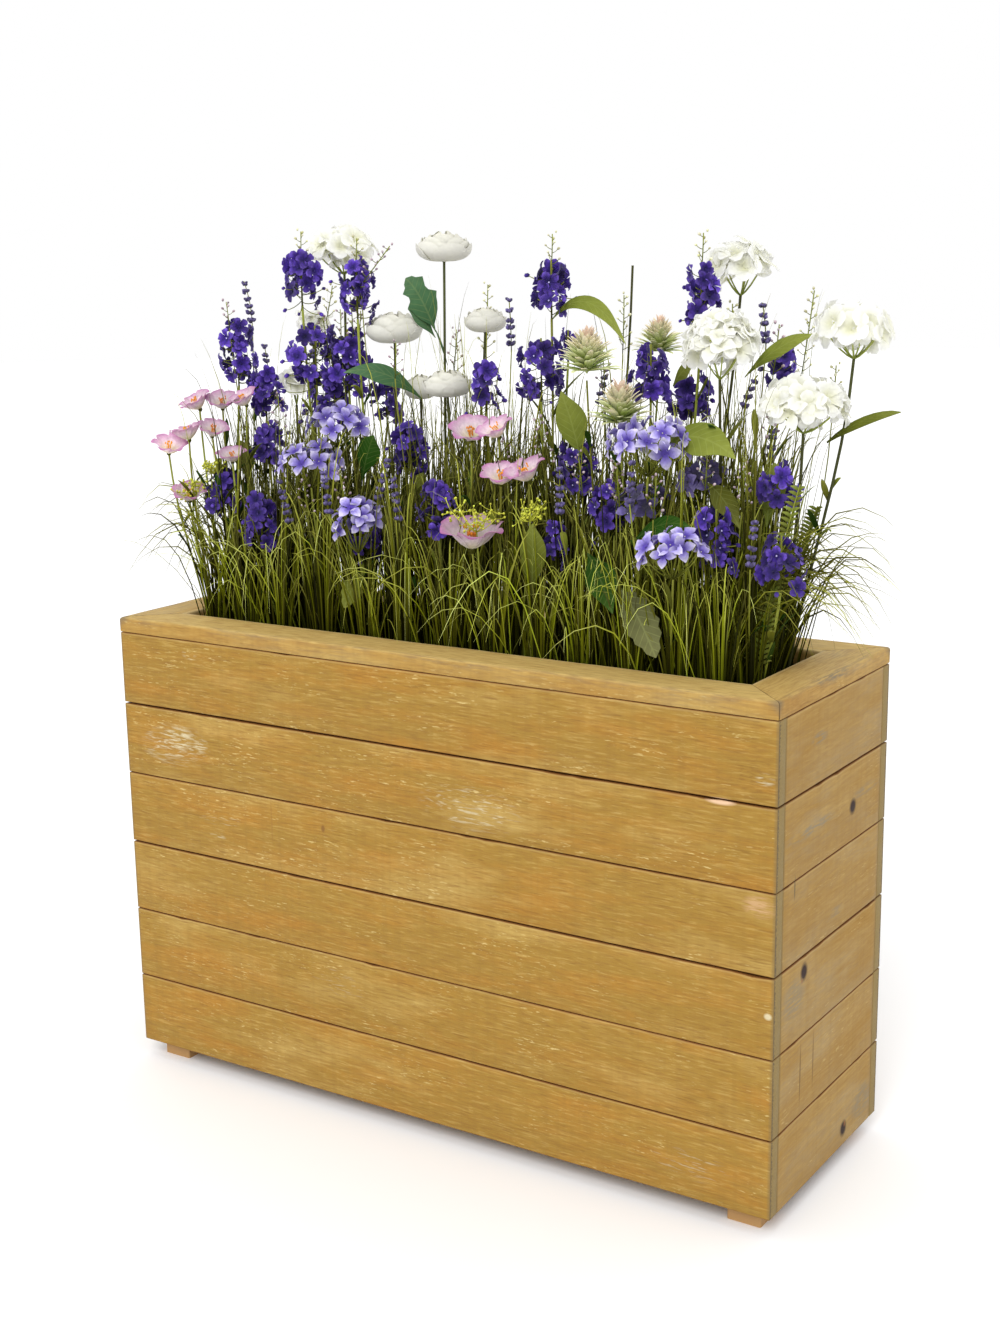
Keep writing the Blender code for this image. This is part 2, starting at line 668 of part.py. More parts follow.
def fuse(name, rootstock, repeats, material):
    """Joins a rootstock and all that grows from it in one closed body."""
    group = start_collection(name + "_repeats")
    for repeat in repeats:
        group.objects.link(repeat)
    PARTS.objects.link(rootstock)
    rootstock.name = name
    union = rootstock.modifiers.new("Fuse", "BOOLEAN")
    union.operation = "UNION"
    union.operand_type = "COLLECTION"
    union.collection = group
    union.solver = "MANIFOLD"
    bpy.context.view_layer.objects.active = rootstock
    bpy.ops.object.modifier_apply(modifier=union.name)
    for repeat in repeats:
        bpy.data.objects.remove(repeat)
    bpy.data.collections.remove(group)
    keep_body(rootstock.data)
    rootstock.data.materials.clear()
    rootstock.data.materials.append(material)


def rootstock_for(name, low_x, high_x, row, slot_cutters):
    """The sunken bar that a bunch grows from, and the plain slot in the soil that it stands in."""
    length = high_x - low_x + 2 * ROOT_END
    middle_x = (low_x + high_x) / 2
    height = ROOT_DEPTH + ROOT_PROUD
    middle = Vector((middle_x, row, SOIL_TOP + ROOT_PROUD - height / 2))
    shape = box_shape(length, ROOT_WIDTH, height)
    bmesh.ops.translate(shape, vec=middle, verts=shape.verts)
    slot = (length + 2 * FIT, ROOT_WIDTH + 2 * FIT, height + 2 * FIT)
    slot_cutters.objects.link(cutter(name + "_slot", slot, middle))
    return loose(shape, name)


class Bunch:
    """One fused bunch of flowers: its heads, the stems that carry them and its leaves."""

    def __init__(self, name, kind, row, heads):
        self.name = name
        self.kind = kind
        self.row = row * MM
        self.heads = []
        for x, y, z, width, height, tip in heads:
            self.heads.append((Vector((x, y, z)) * MM, width * MM, height * MM, tip * MM))
        self.paths = []
        self.leaves = []

    def root_x(self, middle):
        """Where the stem of a head stands in the row."""
        return max(-ROOT_LIMIT, min(ROOT_LIMIT, ROOT_SPREAD * middle.x))

    def take_head_room(self, room):
        """Keeps the room of the heads."""
        for middle, width, height, _ in self.heads:
            rods, radius = head_rods(middle, width, height)
            for rod in rods:
                if not room.is_clear(self.name, rod, radius - HEAD_SQUEEZE):
                    print(f"{self.name}: the head at {tuple(round(c / MM) for c in middle)} is tight")
                room.add(self.name, rod, radius)

    def find_stems(self, room, draw):
        """Leads each stem from its root to its head, bent clear of the other bunches."""
        for middle, _, height, _ in self.heads:
            root = Vector((self.root_x(middle), self.row, SOIL_TOP - ROOTED))
            base = middle - Vector((0.0, 0.0, height / 2))
            end = middle + Vector((0.0, 0.0, STEM_ENDS[self.kind][0] * height))
            for attempt in range(TRIES):
                sway = 0.004 + 0.10 * attempt / TRIES
                bend = Vector((draw.uniform(-sway, sway), draw.uniform(-sway, sway), 0.0))
                level = root.lerp(base, draw.uniform(0.35, 0.6))
                knee = Vector((root.x + 0.3 * (base.x - root.x), root.y + 0.3 * (base.y - root.y), level.z))
                path = [root, knee + bend, base, end]
                if room.is_clear(self.name, path[:-1], STEM_RADIUS):
                    break
            else:
                print(f"{self.name}: no clear way to the head at {tuple(round(c / MM) for c in middle)}")
            room.add(self.name, path[:-1], STEM_RADIUS)
            self.paths.append(path)

    def point_on_stem(self, stem_number, share):
        """A point part of the way up a stem, measured by height."""
        path = self.paths[stem_number]
        height = path[0].z + share * (path[2].z - path[0].z)
        for low, high in zip(path[:-1], path[1:]):
            if height <= high.z:
                return low.lerp(high, (height - low.z) / (high.z - low.z))
        return path[2]

    def add_leaf(self, room, draw, stem_number, share, tip, width, arch, lobed):
        """A leaf from a stem, its tip moved in depth until it is clear."""
        start = self.point_on_stem(stem_number, share)
        for attempt in range(TRIES):
            shift = 0.08 * attempt / TRIES
            end = Vector(tip) * MM + Vector((0.0, draw.uniform(-shift, shift), 0.0))
            control = start.lerp(end, 0.5) + Vector((0.0, 0.0, arch * MM))
            path = [start, arc_point(start, control, end, 0.5), end]
            if room.is_clear(self.name, path, width * MM * LEAF_ROOM):
                break
        else:
            print(f"{self.name}: no clear place for the leaf to {tip}")
        room.add(self.name, path, width * MM * LEAF_ROOM)
        self.leaves.append(leaf(start, control, end, width * MM, lobed))

    def build(self, draw, material, slot_cutters):
        """Fuses the stems, heads and leaves on the rootstock."""
        roots = [path[0].x for path in self.paths]
        rootstock = rootstock_for(self.name, min(roots), max(roots), self.row, slot_cutters)
        end_radius = STEM_ENDS[self.kind][1]
        repeats = [stem(path, end_radius, self.name + "_stem") for path in self.paths]
        shapes = list(self.leaves)
        for middle, width, height, tip in self.heads:
            shapes += HEAD_MAKERS[self.kind](middle, width, height, draw)
            if tip:
                rise = Vector((0.0, 0.0, (height + tip - TIP_ROOT) / 2))
                shapes += lavender(middle + rise, TIP_WIDTH, tip + TIP_ROOT, draw)
        repeats += [loose(shape, self.name + "_piece") for shape in shapes]
        fuse(self.name, rootstock, repeats, material)


def grass_blade(room, draw, name, root, tip, levels):
    """One blade on a curve that is clear of all others, from its root to its tip, or None."""
    arches_over = abs(tip.y - root.y) > ARCH_OUT or abs(tip.x) > MOUTH_LENGTH / 2
    for attempt in range(TRIES // 2):
        lean = draw.uniform(0.02, 0.22)
        height = draw.uniform(0.85, 1.25) * (tip.z - root.z)
        if arches_over:
            height = max(height, draw.uniform(0.24, 0.38))
        control = Vector((
            root.x + lean * (tip.x - root.x),
            root.y + lean * (tip.y - root.y),
            root.z + height,
        ))
        steps = [arc_point(root, control, tip, share / levels) for share in range(levels + 1)]
        if room.is_clear(name, steps, BLADE_WIDTH * 0.5):
            room.add(name, steps, BLADE_WIDTH * 0.5)
            return blade(root, control, tip, BLADE_WIDTH, levels)
    return None


def build_grass(room, draw, slot_cutters):
    """Three tufts along the front and three along the back, each fused on its rootstock."""
    for depth, outwards in (("front", -1), ("back", 1)):
        row = outwards * GRASS_ROW
        for side, (low_x, high_x) in GRASS_SPANS.items():
            tuft = f"grass_{depth}_{side}"
            shapes = []
            for owner, root_x, tip in LONG_BLADES:
                if owner == tuft:
                    root = Vector((root_x, row, SOIL_TOP - ROOTED))
                    shapes.append(grass_blade(room, draw, f"{tuft} long {root_x}", root, Vector(tip), 6))
            count = GRASS_BLADES[depth]
            for i in range(count):
                root = Vector((
                    low_x + (high_x - low_x) * (i + 0.5) / count,
                    row + draw.uniform(-0.003, 0.003),
                    SOIL_TOP - ROOTED,
                ))
                for attempt in range(6):
                    if i % GRASS_OVERHANG == 1 and attempt < 4:
                        out = draw.uniform(ARCH_OUT, REACH_Y - GRASS_ROW - 0.015)
                        rise = draw.uniform(ARCH_LOW, ARCH_HIGH)
                    else:
                        out = draw.uniform(-0.010, GRASS_LEAN)
                        rise = draw.uniform(GRASS_LOW, GRASS_HIGH)
                    sway = draw.uniform(-GRASS_SWAY, GRASS_SWAY)
                    tip = Vector((root.x + sway, row + outwards * out, SOIL_TOP + rise))
                    levels = 4 if out > GRASS_LEAN else 3
                    shape = grass_blade(room, draw, f"{tuft} {i}", root, tip, levels)
                    if shape:
                        shapes.append(shape)
                        break
            lost = shapes.count(None)
            if lost:
                print(f"{tuft}: {lost} long blades found no clear place")
            rootstock = rootstock_for(tuft, low_x, high_x, row, slot_cutters)
            repeats = [loose(shape, tuft + "_blade") for shape in shapes if shape]
            fuse(tuft, rootstock, repeats, GRASS_GREEN)


def build_planting(slot_cutters):
    """All bunches and tufts; the heads take their room first, and grass fills what is left."""
    room = Room()
    draw = random.Random(7)
    bunches = [Bunch(name, *plan) for name, plan in BUNCHES.items()]
    for bunch in bunches:
        bunch.take_head_room(room)
    for bunch in bunches:
        bunch.find_stems(room, draw)
    by_name = {bunch.name: bunch for bunch in bunches}
    for name, *plan in LEAVES:
        by_name[name].add_leaf(room, draw, *plan)
    for bunch in bunches:
        bunch.build(draw, PETALS[bunch.kind], slot_cutters)
    build_grass(room, draw, slot_cutters)


for leftover in list(bpy.data.objects):
    bpy.data.objects.remove(leftover)

PARTS = start_collection("wooden_flower_planter")
CUTTERS = start_collection("cutters")
CUTTERS.hide_render = True

WOOD = finish("stained_softwood", 0.49, 0.29, 0.075, 0.62)
CAP_WOOD = finish("stained_softwood_cap", 0.58, 0.39, 0.13, 0.6)
FOOT_WOOD = finish("raw_softwood", 0.60, 0.38, 0.20, 0.7)
SOIL = finish("soil", 0.02, 0.014, 0.008, 0.95)
GRASS_GREEN = finish("grass", 0.16, 0.22, 0.03, 0.6)
PETALS = {
    "larkspur": finish("violet_petals", 0.07, 0.02, 0.35, 0.7),
    "ranunculus": finish("cream_petals", 0.83, 0.81, 0.70, 0.7),
    "phlox": finish("white_petals", 0.83, 0.83, 0.78, 0.7),
    "pink": finish("pink_petals", 0.83, 0.52, 0.66, 0.7),
    "lilac": finish("lilac_petals", 0.30, 0.27, 0.75, 0.7),
    "spiky": finish("pale_green_bracts", 0.66, 0.68, 0.42, 0.7),
    "lavender": finish("lavender_buds", 0.16, 0.11, 0.40, 0.75),
}

POST_CUTTERS = bpy.data.collections.new("post_notches")
SLOT_CUTTERS = bpy.data.collections.new("root_slots")
CUTTERS.children.link(POST_CUTTERS)
CUTTERS.children.link(SLOT_CUTTERS)

build_boards()
build_posts(POST_CUTTERS)
build_cap()
build_planting(SLOT_CUTTERS)
build_filling(POST_CUTTERS, SLOT_CUTTERS)
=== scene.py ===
"""Wooden flower planter: the finish of its weathered boards, and its bed of cloth flowers and grass.

The box keeps the sizes of its solids. Each board, cap piece and bunch of plants is modelled
here in finer detail and stands for the plain solid of the same place. Plans are in
millimetres from the middle of the floor under the box; meshes are in metres.
"""

import logging
import math
import random
from collections.abc import Callable, Iterable, Sequence
from dataclasses import dataclass, field
from enum import Enum

import bpy
import bmesh
import numpy as np
from mathutils import Matrix, Vector, noise


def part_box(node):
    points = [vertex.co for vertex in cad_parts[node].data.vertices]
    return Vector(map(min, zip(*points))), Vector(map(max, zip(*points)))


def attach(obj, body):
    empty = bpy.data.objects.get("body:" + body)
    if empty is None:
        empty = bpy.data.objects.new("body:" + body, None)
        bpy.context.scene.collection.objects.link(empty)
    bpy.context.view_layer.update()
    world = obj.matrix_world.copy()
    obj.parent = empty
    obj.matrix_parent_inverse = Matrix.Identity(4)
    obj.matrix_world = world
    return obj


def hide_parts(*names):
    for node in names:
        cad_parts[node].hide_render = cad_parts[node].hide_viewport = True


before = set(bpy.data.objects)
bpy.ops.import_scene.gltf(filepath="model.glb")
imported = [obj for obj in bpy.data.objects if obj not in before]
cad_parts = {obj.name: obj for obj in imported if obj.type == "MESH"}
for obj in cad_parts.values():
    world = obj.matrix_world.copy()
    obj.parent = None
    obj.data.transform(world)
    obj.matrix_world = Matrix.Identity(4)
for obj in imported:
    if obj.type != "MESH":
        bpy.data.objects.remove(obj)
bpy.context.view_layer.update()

LOG = logging.getLogger("planter")
MM = 0.001
BODY = "root"
CENTRE = (0.0, 0.0, 0.0)
X_AXIS, Y_AXIS, Z_AXIS = Vector((1, 0, 0)), Vector((0, 1, 0)), Vector((0, 0, 1))
GOLDEN = math.radians(137.5)
Place = tuple[float, float, float]
Inputs = dict[int | str, object] | Sequence[object]

# The box, read from the frame
CAP_WIDTH = 0.065
SOIL_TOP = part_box("soil")[1].z
RIM_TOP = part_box("cap_front")[1].z
BOX_LOW, BOX_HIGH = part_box("front_board_1")[0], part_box("back_board_6")[1]
MOUTH_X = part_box("cap_right")[1].x - CAP_WIDTH
MOUTH_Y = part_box("cap_back")[1].y - CAP_WIDTH

# The photograph's view
AZIMUTH, ELEVATION, ROLL = math.radians(33.025), math.radians(12.967), math.radians(-0.867)
DISTANCE = 2.4292
AIM = Vector((0.0238, 0.0, 0.6119))
LENS_MM = 49.58
BACK = Vector((math.sin(AZIMUTH) * math.cos(ELEVATION), -math.cos(AZIMUTH) * math.cos(ELEVATION),
               math.sin(ELEVATION)))


def linear(colour: str) -> tuple[float, ...]:
    """Turns an sRGB hex colour to linear light.

    Args:
        colour: the colour as "#RRGGBB".

    Returns:
        Its red, green and blue in linear light, and full alpha.
    """
    shares = [int(colour[i:i + 2], 16) / 255 for i in (1, 3, 5)]
    return *(c / 12.92 if c <= 0.04045 else ((c + 0.055) / 1.055) ** 2.4 for c in shares), 1.0


class Paint:
    """A material while its nodes are added."""

    def __init__(self, name: str) -> None:
        """Starts the material."""
        self.material = bpy.data.materials.new(name)
        self.material.use_nodes = True
        self.nodes = self.material.node_tree.nodes

    def fill(self, node: bpy.types.Node, inputs: Inputs) -> None:
        """Fills a node's inputs.

        Args:
            node: the node.
            inputs: what the first ones hold in their order, or each one by its name or
                number: a value, or the output that it is linked to. A node stands for its
                first output.
        """
        for key, value in inputs.items() if isinstance(inputs, dict) else enumerate(inputs):
            if isinstance(value, bpy.types.Node):
                value = value.outputs[0]
            if isinstance(value, bpy.types.NodeSocket):
                self.material.node_tree.links.new(value, node.inputs[key])
            else:
                node.inputs[key].default_value = value

    def add(self, kind: str, inputs: Inputs = (), stops: Sequence[tuple[float, str]] = (),
            **settings: object) -> bpy.types.Node:
        """Adds a shader node with its settings and links.

        Args:
            kind: the node's type without "ShaderNode".
            inputs: what its inputs hold, as in fill().
            stops: the places and hex colours of a colour ramp.
            settings: the node's own properties.

        Returns:
            The new node.
        """
        node = self.nodes.new("ShaderNode" + kind)
        for name, value in settings.items():
            setattr(node, name, value)
        self.fill(node, inputs)
        if stops:
            elements = node.color_ramp.elements
            while len(elements) < len(stops):
                elements.new(0.5)
            for element, (place, colour) in zip(elements, stops):
                element.position, element.color = place, linear(colour)
        return node

    def finish(self, **inputs: object) -> bpy.types.Material:
        """Fills the surface's inputs, named with _ for a space, and gives the material."""
        self.fill(self.nodes["Principled BSDF"], {key.replace("_", " "): inputs[key] for key in inputs})
        return self.material


def deselect_everything() -> None:
    """Leaves edit mode and selects nothing, so that the next primitive stands alone."""
    if bpy.context.mode != "OBJECT":
        bpy.ops.object.mode_set(mode="OBJECT")
    bpy.ops.object.select_all(action="DESELECT")


def edit(piece: bpy.types.Object, action: str) -> None:
    """Opens a piece for editing.

    Args:
        piece: the piece.
        action: "SELECT" or "DESELECT" for all that it holds.
    """
    deselect_everything()
    bpy.context.view_layer.objects.active = piece
    bpy.ops.object.mode_set(mode="EDIT")
    bpy.ops.mesh.select_all(action=action)


def resize(*value: float, about: Sequence[float] = CENTRE) -> None:
    """Scales what is selected about a point."""
    bpy.ops.transform.resize(value=value, center_override=about)


def cut(places: Iterable[float], axis: Vector) -> None:
    """Cuts all of the piece that is in edit mode across an axis.

    Args:
        places: where on the axis it is cut.
        axis: the axis.
    """
    for place in places:
        bpy.ops.mesh.select_all(action="SELECT")
        bpy.ops.mesh.bisect(plane_co=axis * place, plane_no=axis)


def pick(piece: bpy.types.Object, test: Callable[[Vector], bool]) -> None:
    """Selects the vertices of a piece in edit mode that pass a test.

    Args:
        piece: the piece in edit mode.
        test: says of a vertex's place whether it is picked.
    """
    mesh = bmesh.from_edit_mesh(piece.data)
    for vertex in mesh.verts:
        vertex.select_set(test(vertex.co))
    mesh.select_flush(True)
    mesh.select_flush(False)
    bmesh.update_edit_mesh(piece.data)


def apply_modifier(piece: bpy.types.Object, kind: str, **settings: object) -> None:
    """Adds a modifier to a piece and applies it.

    Args:
        piece: the piece, in object mode.
        kind: the modifier's type.
        settings: its properties.
    """
    bpy.context.view_layer.objects.active = piece
    modifier = piece.modifiers.new(kind.title(), kind)
    for name, value in settings.items():
        setattr(modifier, name, value)
    bpy.ops.object.modifier_apply(modifier=modifier.name)


def read(items: bpy.types.bpy_prop_collection, name: str, width: int = 1) -> np.ndarray:
    """Reads one property of every part of a mesh.

    Args:
        items: its vertices, loops or polygons.
        name: the property.
        width: how many numbers each one has: 1 for whole numbers.

    Returns:
        The values, one row for each part where there is more than one number.
    """
    values = np.empty(len(items) * width, dtype=np.int64 if width == 1 else float)
    items.foreach_get(name, values)
    return values if width == 1 else values.reshape(-1, width)


def mark(mesh: bpy.types.Mesh, name: str, values: np.ndarray) -> None:
    """Writes an attribute that the finishes read, three numbers for each vertex."""
    attribute = mesh.attributes.new(name, "FLOAT_VECTOR", "POINT")
    attribute.data.foreach_set("vector", values.astype(np.float32).ravel())


@dataclass
class Shape:
    """A small form that is modelled once and kept as arrays, ready to be copied.

    Its marks are, for each point, how far it lies from root to tip (0 to 1) and how far
    across (-1 to 1), which the finishes read.
    """

    points: np.ndarray
    corners: np.ndarray
    sizes: np.ndarray
    slots: np.ndarray
    along: np.ndarray
    across: np.ndarray

    @classmethod
    def take(cls, piece: bpy.types.Object, stand: bool = False) -> "Shape":
        """Reads a modelled piece and removes it.

        Args:
            piece: the modelled piece, which grows from the origin.
            stand: True for a shape that is bent along paths later: its +Y run is stood
                up along +Z and scaled to a height of 1 and a half width of 1.

        Returns:
            The shape.
        """
        deselect_everything()
        mesh = piece.data
        points = read(mesh.vertices, "co", 3)
        if stand:
            x, y, z = points.T
            half = np.abs(x).max()
            points = np.column_stack([x / half, -z / half, y / y.max()])
            along = points[:, 2].clip(0.0, 1.0)
        else:
            reach = np.sqrt((points[:, :2] ** 2).sum(axis=1))
            along = reach / reach.max()
        shape = cls(
            points, read(mesh.loops, "vertex_index"), read(mesh.polygons, "loop_total"),
            read(mesh.polygons, "material_index"), along, points[:, 0] / np.abs(points[:, 0]).max())
        bpy.data.objects.remove(piece)
        bpy.data.meshes.remove(mesh)
        return shape


def grow(root_width: float, steps: Sequence[Place], cup: float, thickness: float,
         ruffle: float = 0.0, smooth: int = 0, seed: int = 1) -> bpy.types.Object:
    """Models a petal or leaf that grows from the origin along +Y by extruding its far edge.

    All lengths are in millimetres.

    Args:
        root_width: its width at the root.
        steps: from root to tip, how far each step runs on and rises, and its width there.
        cup: how far its sides stand above its middle line.
        thickness: the thickness of the cloth.
        ruffle: how far its rim waves up and down.
        smooth: levels of subdivision.
        seed: which waves the rim gets.

    Returns:
        The petal as an object.
    """
    deselect_everything()
    bpy.ops.mesh.primitive_plane_add(size=MM, location=(0.0, MM / 2, 0.0))
    petal = bpy.context.object
    bpy.ops.object.transform_apply(location=True, rotation=False, scale=False)
    bpy.ops.object.mode_set(mode="EDIT")
    cut([0.0], X_AXIS)
    bpy.ops.mesh.select_all(action="SELECT")
    resize(root_width, 1.0, 1.0)
    pick(petal, lambda co: co.y > MM / 2)
    width = root_width
    for on, rise, new_width in steps:
        bpy.ops.mesh.extrude_region_move(TRANSFORM_OT_translate={"value": (0.0, on * MM, rise * MM)})
        resize(new_width / width, 1.0, 1.0)
        width = new_width
    bpy.ops.object.mode_set(mode="OBJECT")
    widest = max(abs(vertex.co.x) for vertex in petal.data.vertices)
    waves = random.Random(seed)
    for vertex in petal.data.vertices:
        side = abs(vertex.co.x) / widest
        vertex.co.z += (cup * side ** 2 + waves.uniform(-ruffle, ruffle) * side) * MM
    if smooth:
        apply_modifier(petal, "SUBSURF", levels=smooth, render_levels=smooth)
    apply_modifier(petal, "SOLIDIFY", thickness=thickness * MM, offset=0.0)
    return petal


def set_round(piece: bpy.types.Object, count: int) -> None:
    """Copies what a piece holds round +Z.

    Args:
        piece: the piece, in object mode.
        count: how many there are in all.
    """
    edit(piece, "SELECT")
    for _ in range(count - 1):
        bpy.ops.mesh.duplicate()
        bpy.ops.transform.rotate(value=math.tau / count, orient_axis="Z", center_override=CENTRE)
    bpy.ops.object.mode_set(mode="OBJECT")


def add_bead(piece: bpy.types.Object, place: Place, size: Place, slot: int = 1) -> None:
    """Adds a small faceted bead to a piece, such as a flower's heart.

    Args:
        piece: the piece, in object mode.
        place: the bead's middle, in millimetres.
        size: its half sizes, in millimetres.
        slot: which finish it takes.
    """
    edit(piece, "DESELECT")
    middle = tuple(value * MM for value in place)
    bpy.ops.mesh.primitive_ico_sphere_add(subdivisions=1, radius=MM, location=middle)
    resize(*size, about=middle)
    bpy.ops.object.mode_set(mode="OBJECT")
    for face in piece.data.polygons:
        if face.select:
            face.material_index = slot


def along_curve(knots: np.ndarray, share: np.ndarray) -> tuple[np.ndarray, np.ndarray]:
    """Points and directions on a curve through four knots.

    Args:
        knots: the start, two control points and the end.
        share: how far along the curve each point lies.

    Returns:
        The points, and the unit directions there.
    """
    t = share[:, None]
    a, b, c, d = knots
    u = 1.0 - t
    points = u ** 3 * a + 3 * u ** 2 * t * b + 3 * u * t ** 2 * c + t ** 3 * d
    ahead = u ** 2 * (b - a) + 2 * u * t * (c - b) + t ** 2 * (d - c)
    return points, ahead / np.linalg.norm(ahead, axis=1, keepdims=True).clip(1e-9)


def arch(*ends: Sequence[float]) -> np.ndarray:
    """The four knots of an arch, given its start, the point that it leans towards and its end."""
    a, c, d = (np.array(end, float) for end in ends)
    return np.array([a, a + (c - a) * 2 / 3, d + (c - d) * 2 / 3, d])


def up(height: float) -> Vector:
    """A run straight up."""
    return Vector((0.0, 0.0, height))


def spoke(turn: float, rise: float = 0.0, reach: float = 1.0) -> Vector:
    """A run outwards in plan by its turn and reach, with its rise."""
    return Vector((reach * math.cos(turn), reach * math.sin(turn), rise))


def scatter(draw: random.Random, reach: float = 1.0) -> Vector:
    """A random run of at most this reach along each axis."""
    return Vector([draw.uniform(-reach, reach) for _ in range(3)])


def facing(place: Vector, direction: Vector, spin: float, size: float) -> Matrix:
    """The matrix of a form that looks along a direction.

    Args:
        place: where its root is.
        direction: what its +Z looks along.
        spin: its turn round that direction.
        size: its scale.

    Returns:
        The matrix.
    """
    turn = direction.to_track_quat("Z", "Y").to_matrix().to_4x4()
    return Matrix.Translation(place) @ turn @ Matrix.Rotation(spin, 4, "Z") @ Matrix.Scale(size, 4)


def pointing(place: Vector, direction: Vector) -> Matrix:
    """The matrix of a form whose +Y runs along a direction from its place."""
    return Matrix.Translation(place) @ direction.to_track_quat("Y", "Z").to_matrix().to_4x4()


def settle(piece: bpy.types.Object, slot: str, *nodes: str) -> None:
    """Puts a finished piece on the planter's body and reports it.

    Args:
        piece: the piece.
        slot: the record's material slot; not used.
        nodes: the solids that it stands for.
    """
    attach(piece, BODY)
    if nodes:
        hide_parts(*nodes)
    triangles = sum(len(face.vertices) - 2 for face in piece.data.polygons)
    LOG.info("%s: %d triangles", piece.name, triangles)


def new_object(name: str, data: bpy.types.ID) -> bpy.types.Object:
    """Links a new object to the scene.

    Args:
        name: its name.
        data: its mesh, lamp or camera.

    Returns:
        The object.
    """
    piece = bpy.data.objects.new(name, data)
    bpy.context.scene.collection.objects.link(piece)
    return piece


class Posy:
    """Gathers copies of shapes into one mesh."""

    def __init__(self, shapes: "Shapes", finishes: "Finishes") -> None:
        """Starts empty, with the shapes and finishes that the copies may take."""
        self.shapes = shapes
        self.finishes = finishes
        self.palette = list(vars(finishes).values())
        self.copies: list[tuple[np.ndarray, ...]] = []
        self.count = 0

    def keep(self, shape: Shape, points: np.ndarray, tone: float, wears: Sequence[bpy.types.Material]) -> None:
        """Keeps one copy at its place.

        Args:
            shape: the shape.
            points: its points, in their places.
            tone: how light this copy is, 0 to 1.
            wears: the finish of each of the shape's slots.
        """
        numbers = np.array([self.palette.index(material) for material in wears])
        marks = np.column_stack([shape.along, np.full(len(points), tone), shape.across])
        slots = numbers[shape.slots.clip(0, len(numbers) - 1)]
        self.copies.append((points, marks, shape.corners + self.count, shape.sizes, slots))
        self.count += len(points)

    def lay(self, shape: Shape, place: Matrix, tone: float, *wears: bpy.types.Material) -> None:
        """Lays a copy of a shape at the place of a matrix, with its tone and finishes."""
        turn = np.array(place.to_3x3())
        self.keep(shape, shape.points @ turn.T + np.array(place.translation), tone, wears)

    def bend(self, shape: Shape, knots: np.ndarray, width: float, depth: float, tone: float,
             look: Sequence[float], *wears: bpy.types.Material) -> None:
        """Bends a standing shape along a curve.

        Args:
            shape: a shape that stands from 0 to 1 along +Z.
            knots: the four knots of the curve.
            width: the half width of the bent shape, in metres.
            depth: what its depth is scaled by, in metres.
            tone: how light this copy is, 0 to 1.
            look: the direction that its face looks towards.
            wears: the finish of each of the shape's slots.
        """
        middle, ahead = along_curve(knots, shape.points[:, 2])
        side = np.cross(ahead, np.array(look, float))
        side /= np.linalg.norm(side, axis=1, keepdims=True).clip(1e-9)
        back = np.cross(side, ahead)
        points = middle + side * shape.points[:, :1] * width + back * shape.points[:, 1:2] * depth
        self.keep(shape, points, tone, wears)

    def stem(self, knots: np.ndarray, radius: float, tone: float, green: bpy.types.Material) -> None:
        """A round stem along a curve."""
        self.bend(self.shapes.stem, knots, radius, radius, tone, X_AXIS, green)

    def stalk(self, start: Vector, end: Vector, radius: float, green: bpy.types.Material) -> None:
        """A thin stalk that leaves its stem upwards and bends out to its end.

        Args:
            start: where it leaves the stem.
            end: where it ends.
            radius: its radius, in metres.
            green: its finish.
        """
        control = start.lerp(end, 0.45) + up(-0.2 * (end - start).length)
        self.bend(self.shapes.stalk, arch(start, control, end), radius, radius, 0.5, (0.3, 0.9, 0.1), green)

    def bud_tip(self, foot: Vector, top: Vector, draw: random.Random, pale: bool = True) -> None:
        """A thin spray: small buds on side stalks that shorten towards the tip.

        Args:
            foot: where it starts.
            top: where it ends.
            draw: gives the buds' sizes and tones.
            pale: whether its buds are pale, or blush.
        """
        control = foot.lerp(top, 0.5) + Vector((0.001, 0, 0))
        self.bend(self.shapes.stalk, arch(foot, control, top), 0.0008, 0.0008, 0.8, X_AXIS, self.finishes.stem)
        count = max(6, round((top - foot).length / 0.0048))
        for i in range(count):
            share = (i + 1) / count
            reach = 0.011 * (1.0 - 0.75 * share) + 0.002
            start = foot.lerp(top, share)
            end = start + spoke(i * GOLDEN, 0.6 * reach, reach)
            if share < 1.0:
                self.stalk(start, end, 0.0005, self.finishes.stem)
            size = draw.uniform(0.0018, 0.0028)
            look = (end - start).normalized() if share < 1.0 else up(1)
            self.lay(self.shapes.bud, facing(end, look, 0.0, size), draw.random(),
                     self.finishes.bud if pale else self.finishes.blush_bud)

    def settle(self, name: str, slot: str, *nodes: str) -> None:
        """Makes the piece, with only the finishes that it wears, and puts it on the planter.

        Args:
            name: its name.
            slot: the record's material slot.
            nodes: the solids that it stands for.
        """
        points, marks, corners, sizes, slots = (np.concatenate(part) for part in zip(*self.copies))
        kept, slots = np.unique(slots, return_inverse=True)
        mesh = bpy.data.meshes.new(name)
        mesh.vertices.add(len(points))
        mesh.vertices.foreach_set("co", points.astype(np.float32).ravel())
        mesh.loops.add(len(corners))
        mesh.loops.foreach_set("vertex_index", corners.astype(np.int32))
        mesh.polygons.add(len(sizes))
        starts = np.concatenate([[0], np.cumsum(sizes)[:-1]])
        mesh.polygons.foreach_set("loop_start", starts.astype(np.int32))
        mesh.polygons.foreach_set("material_index", slots.astype(np.int32))
        mesh.update(calc_edges=True)
        mark(mesh, "place", marks)
        for number in kept:
            mesh.materials.append(self.palette[number])
        mesh.shade_smooth()
        mesh.set_sharp_from_angle(angle=math.radians(55))
        settle(new_object(name, mesh), slot, *nodes)


